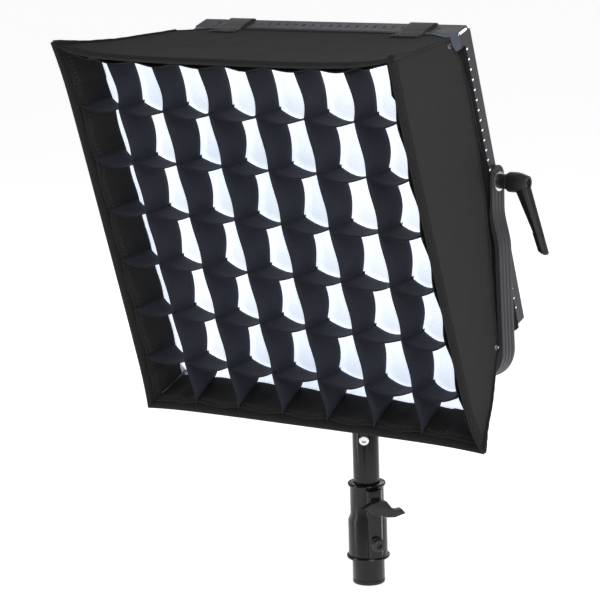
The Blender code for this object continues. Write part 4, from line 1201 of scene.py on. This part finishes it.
def yoke():
    """The bent flat yoke, extruded with three shallow grooves down its outer face."""
    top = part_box("yoke")[1].z - PIVOT.z
    path = yoke_path(top)
    rows = []
    for i, point in enumerate(path):
        heading = (path[min(i + 1, len(path) - 1)] - path[max(i - 1, 0)]).normalized()
        outward = Vector((-heading.z, 0, heading.x))
        drop = top - point.z
        inner = -mix(YOKE_THIN, YOKE_THICK, smoothstep((drop - YOKE_SWELL) / YOKE_SWELL))
        # The arms' ends are round.
        scale = 1.0
        if drop < YOKE_HALF_WIDTH:
            scale = sqrt(max(1 - ((YOKE_HALF_WIDTH - drop) / YOKE_HALF_WIDTH) ** 2, 0.0004))
        row = []
        for across, depth in yoke_section():
            if depth is None:
                depth = inner + (0.0004 if abs(across) == 1.0 else 0.0)
            row.append(point + outward * depth + Vector((0, across * YOKE_HALF_WIDTH * scale, 0)))
        rows.append(row)
    bm = bmesh.new()
    close_ends(bm, add_faces(bm, rows, closed_columns=True))
    bmesh.ops.recalc_face_normals(bm, faces=bm.faces)
    link("grooved_yoke", bm, "charcoal", "yoke", UPRIGHT, replaces=("yoke",), smooth=32)


# From the lever's joint to the floor of the recess in its barrel.
BARREL_DEPTH = 0.0144


def clamps():
    """The clamp levers with their studs, washers and screws."""
    for hand, side in (("left", -1), ("right", 1)):
        refined(f"washer_{hand}", "zinc", "yoke", UPRIGHT, 0.00025)
        refined(f"lever_stud_{hand}", "plastic", f"stud_{hand}", UPRIGHT, 0.0002)
        refined(f"lever_handle_{hand}", "plastic", f"handle_{hand}", UPRIGHT, 0.0006, 3)
        recess_floor = abs(JOINTS[f"lever_turn_{hand}"]["pos_m"][0]) + BARREL_DEPTH
        bm = bmesh.new()
        screw(bm, Vector((side * recess_floor, 0, 0)), Vector((side, 0, 0)), 0.0039, 0.6, 0.0016)
        link(f"lever_screw_{hand}", bm, "steel", f"handle_{hand}", UPRIGHT)


def stand():
    """The socket, riser, collar, wing lever, bolts and lower tube."""
    for node, finish, slot, body, width, segments in (
        ("stand_socket", "black_metal", "black_metal", "yoke", 0.0004, 2),
        ("yoke_bolt", "steel", "dark_steel", "yoke", 0.0003, 2),
        ("socket_knob", "soft_plastic", "black_plastic", "socket_knob", 0.0006, 2),
        ("riser_tube", "gloss", "gloss_black_paint", "riser", 0.0004, 2),
        ("spigot", "steel", "dark_steel", "riser", 0.0003, 2),
        ("ring_screw", "zinc", "bright_zinc", "riser", 0.0003, 2),
        ("collar", "gloss", "gloss_black_paint", "stand_base", 0.0006, 3),
        ("clamp_bolt", "black_metal", "dark_steel", "stand_base", 0.0003, 2),
        ("wing_lever", "plastic", "black_plastic", "wing_lever", 0.0009, 3),
        ("lower_tube", "gloss", "gloss_black_paint", "stand_base", 0.0004, 2),
        ("end_plug", "plastic", "black_plastic", "stand_base", 0.0004, 2),
    ):
        refined(node, finish, body, STAND, width, segments)


# ---------------------------------------------------------------- stage

CAMERA_PLACE = Vector((1.24243, -1.81183, 0.72351))
CAMERA_AZIMUTH = radians(36.007)
CAMERA_DIP = radians(11.237)
CAMERA_ROLL = radians(-1.777)
CAMERA_LENS = 138.38


def camera():
    """The photograph's viewpoint: 36 degrees to the light's side and 11 degrees above it."""
    right = Vector((cos(CAMERA_AZIMUTH), sin(CAMERA_AZIMUTH), 0))
    ahead = Vector((-sin(CAMERA_AZIMUTH), cos(CAMERA_AZIMUTH), 0))
    forward = ahead * cos(CAMERA_DIP) - Vector((0, 0, 1)) * sin(CAMERA_DIP)
    above = Vector((0, 0, 1)) * cos(CAMERA_DIP) + ahead * sin(CAMERA_DIP)
    across = right * cos(CAMERA_ROLL) + above * sin(CAMERA_ROLL)
    up = above * cos(CAMERA_ROLL) - right * sin(CAMERA_ROLL)
    data = bpy.data.cameras.new("camera")
    data.lens = CAMERA_LENS
    data.sensor_width = 36.0
    obj = bpy.data.objects.new("camera", data)
    bpy.context.scene.collection.objects.link(obj)
    matrix = Matrix((across, up, -forward)).transposed().to_4x4()
    matrix.translation = CAMERA_PLACE
    obj.matrix_world = matrix
    bpy.context.scene.camera = obj


def area_light(name, place, target, size, power, colour=(1, 1, 1)):
    data = bpy.data.lights.new(name, "AREA")
    data.shape = "RECTANGLE"
    data.size, data.size_y = size
    data.energy = power
    data.color = colour
    obj = bpy.data.objects.new(name, data)
    bpy.context.scene.collection.objects.link(obj)
    direction = Vector(target) - Vector(place)
    obj.matrix_world = Matrix.Translation(place) @ direction.to_track_quat("-Z", "Y").to_matrix().to_4x4()


# The white room's strength as a light, and as the camera sees it.
ROOM_LIGHT = 0.26
ROOM_SEEN = 1.20


def studio():
    """A pale floor under the stand, a white room and soft lights."""
    bm = bmesh.new()
    bmesh.ops.create_grid(bm, x_segments=1, y_segments=1, size=40)
    mesh = bpy.data.meshes.new("floor")
    bm.to_mesh(mesh)
    bm.free()
    floor = Finish("floor_paper", (0.92, 0.92, 0.92), 0.9)
    floor.set("Emission Color", (1, 1, 1, 1))
    floor.set("Emission Strength", 0.72)
    floor.tint(floor.noise(2, 2), 0.99, 1.01)
    mesh.materials.append(floor.material)
    obj = bpy.data.objects.new("floor", mesh)
    obj.location.z = -0.0002
    bpy.context.scene.collection.objects.link(obj)

    world = bpy.data.worlds.new("studio")
    world.use_nodes = True
    tree = world.node_tree
    background = tree.nodes["Background"]
    path = tree.nodes.new("ShaderNodeLightPath")
    levels = tree.nodes.new("ShaderNodeMapRange")
    tree.links.new(path.outputs["Is Camera Ray"], levels.inputs["Value"])
    levels.inputs["To Min"].default_value = ROOM_LIGHT
    levels.inputs["To Max"].default_value = ROOM_SEEN
    tree.links.new(levels.outputs[0], background.inputs["Strength"])
    background.inputs["Color"].default_value = (1, 1, 1, 1)
    bpy.context.scene.world = world
    bpy.context.scene.view_settings.view_transform = "Standard"

    middle = (0, -0.05, 0.30)
    area_light("key", (1.6, -1.2, 1.5), middle, (0.7, 1.4), 20, (1.0, 0.985, 0.97))
    area_light("strip_left", (-1.5, -1.6, 0.7), middle, (0.20, 1.8), 12)
    area_light("overhead", (-0.2, -0.4, 2.2), middle, (1.6, 1.2), 3.5)
    area_light("rear", (-0.8, 1.8, 1.3), middle, (1.4, 1.0), 8)


fabric_panels()
rear_binding()
rear_shade_skirt()
corner_seams()
hem()
grid_border()
grid_strips()
slot_lips()
diffusing_cloth()
straps()
light()
control_box()
yoke()
clamps()
stand()
camera()
studio()
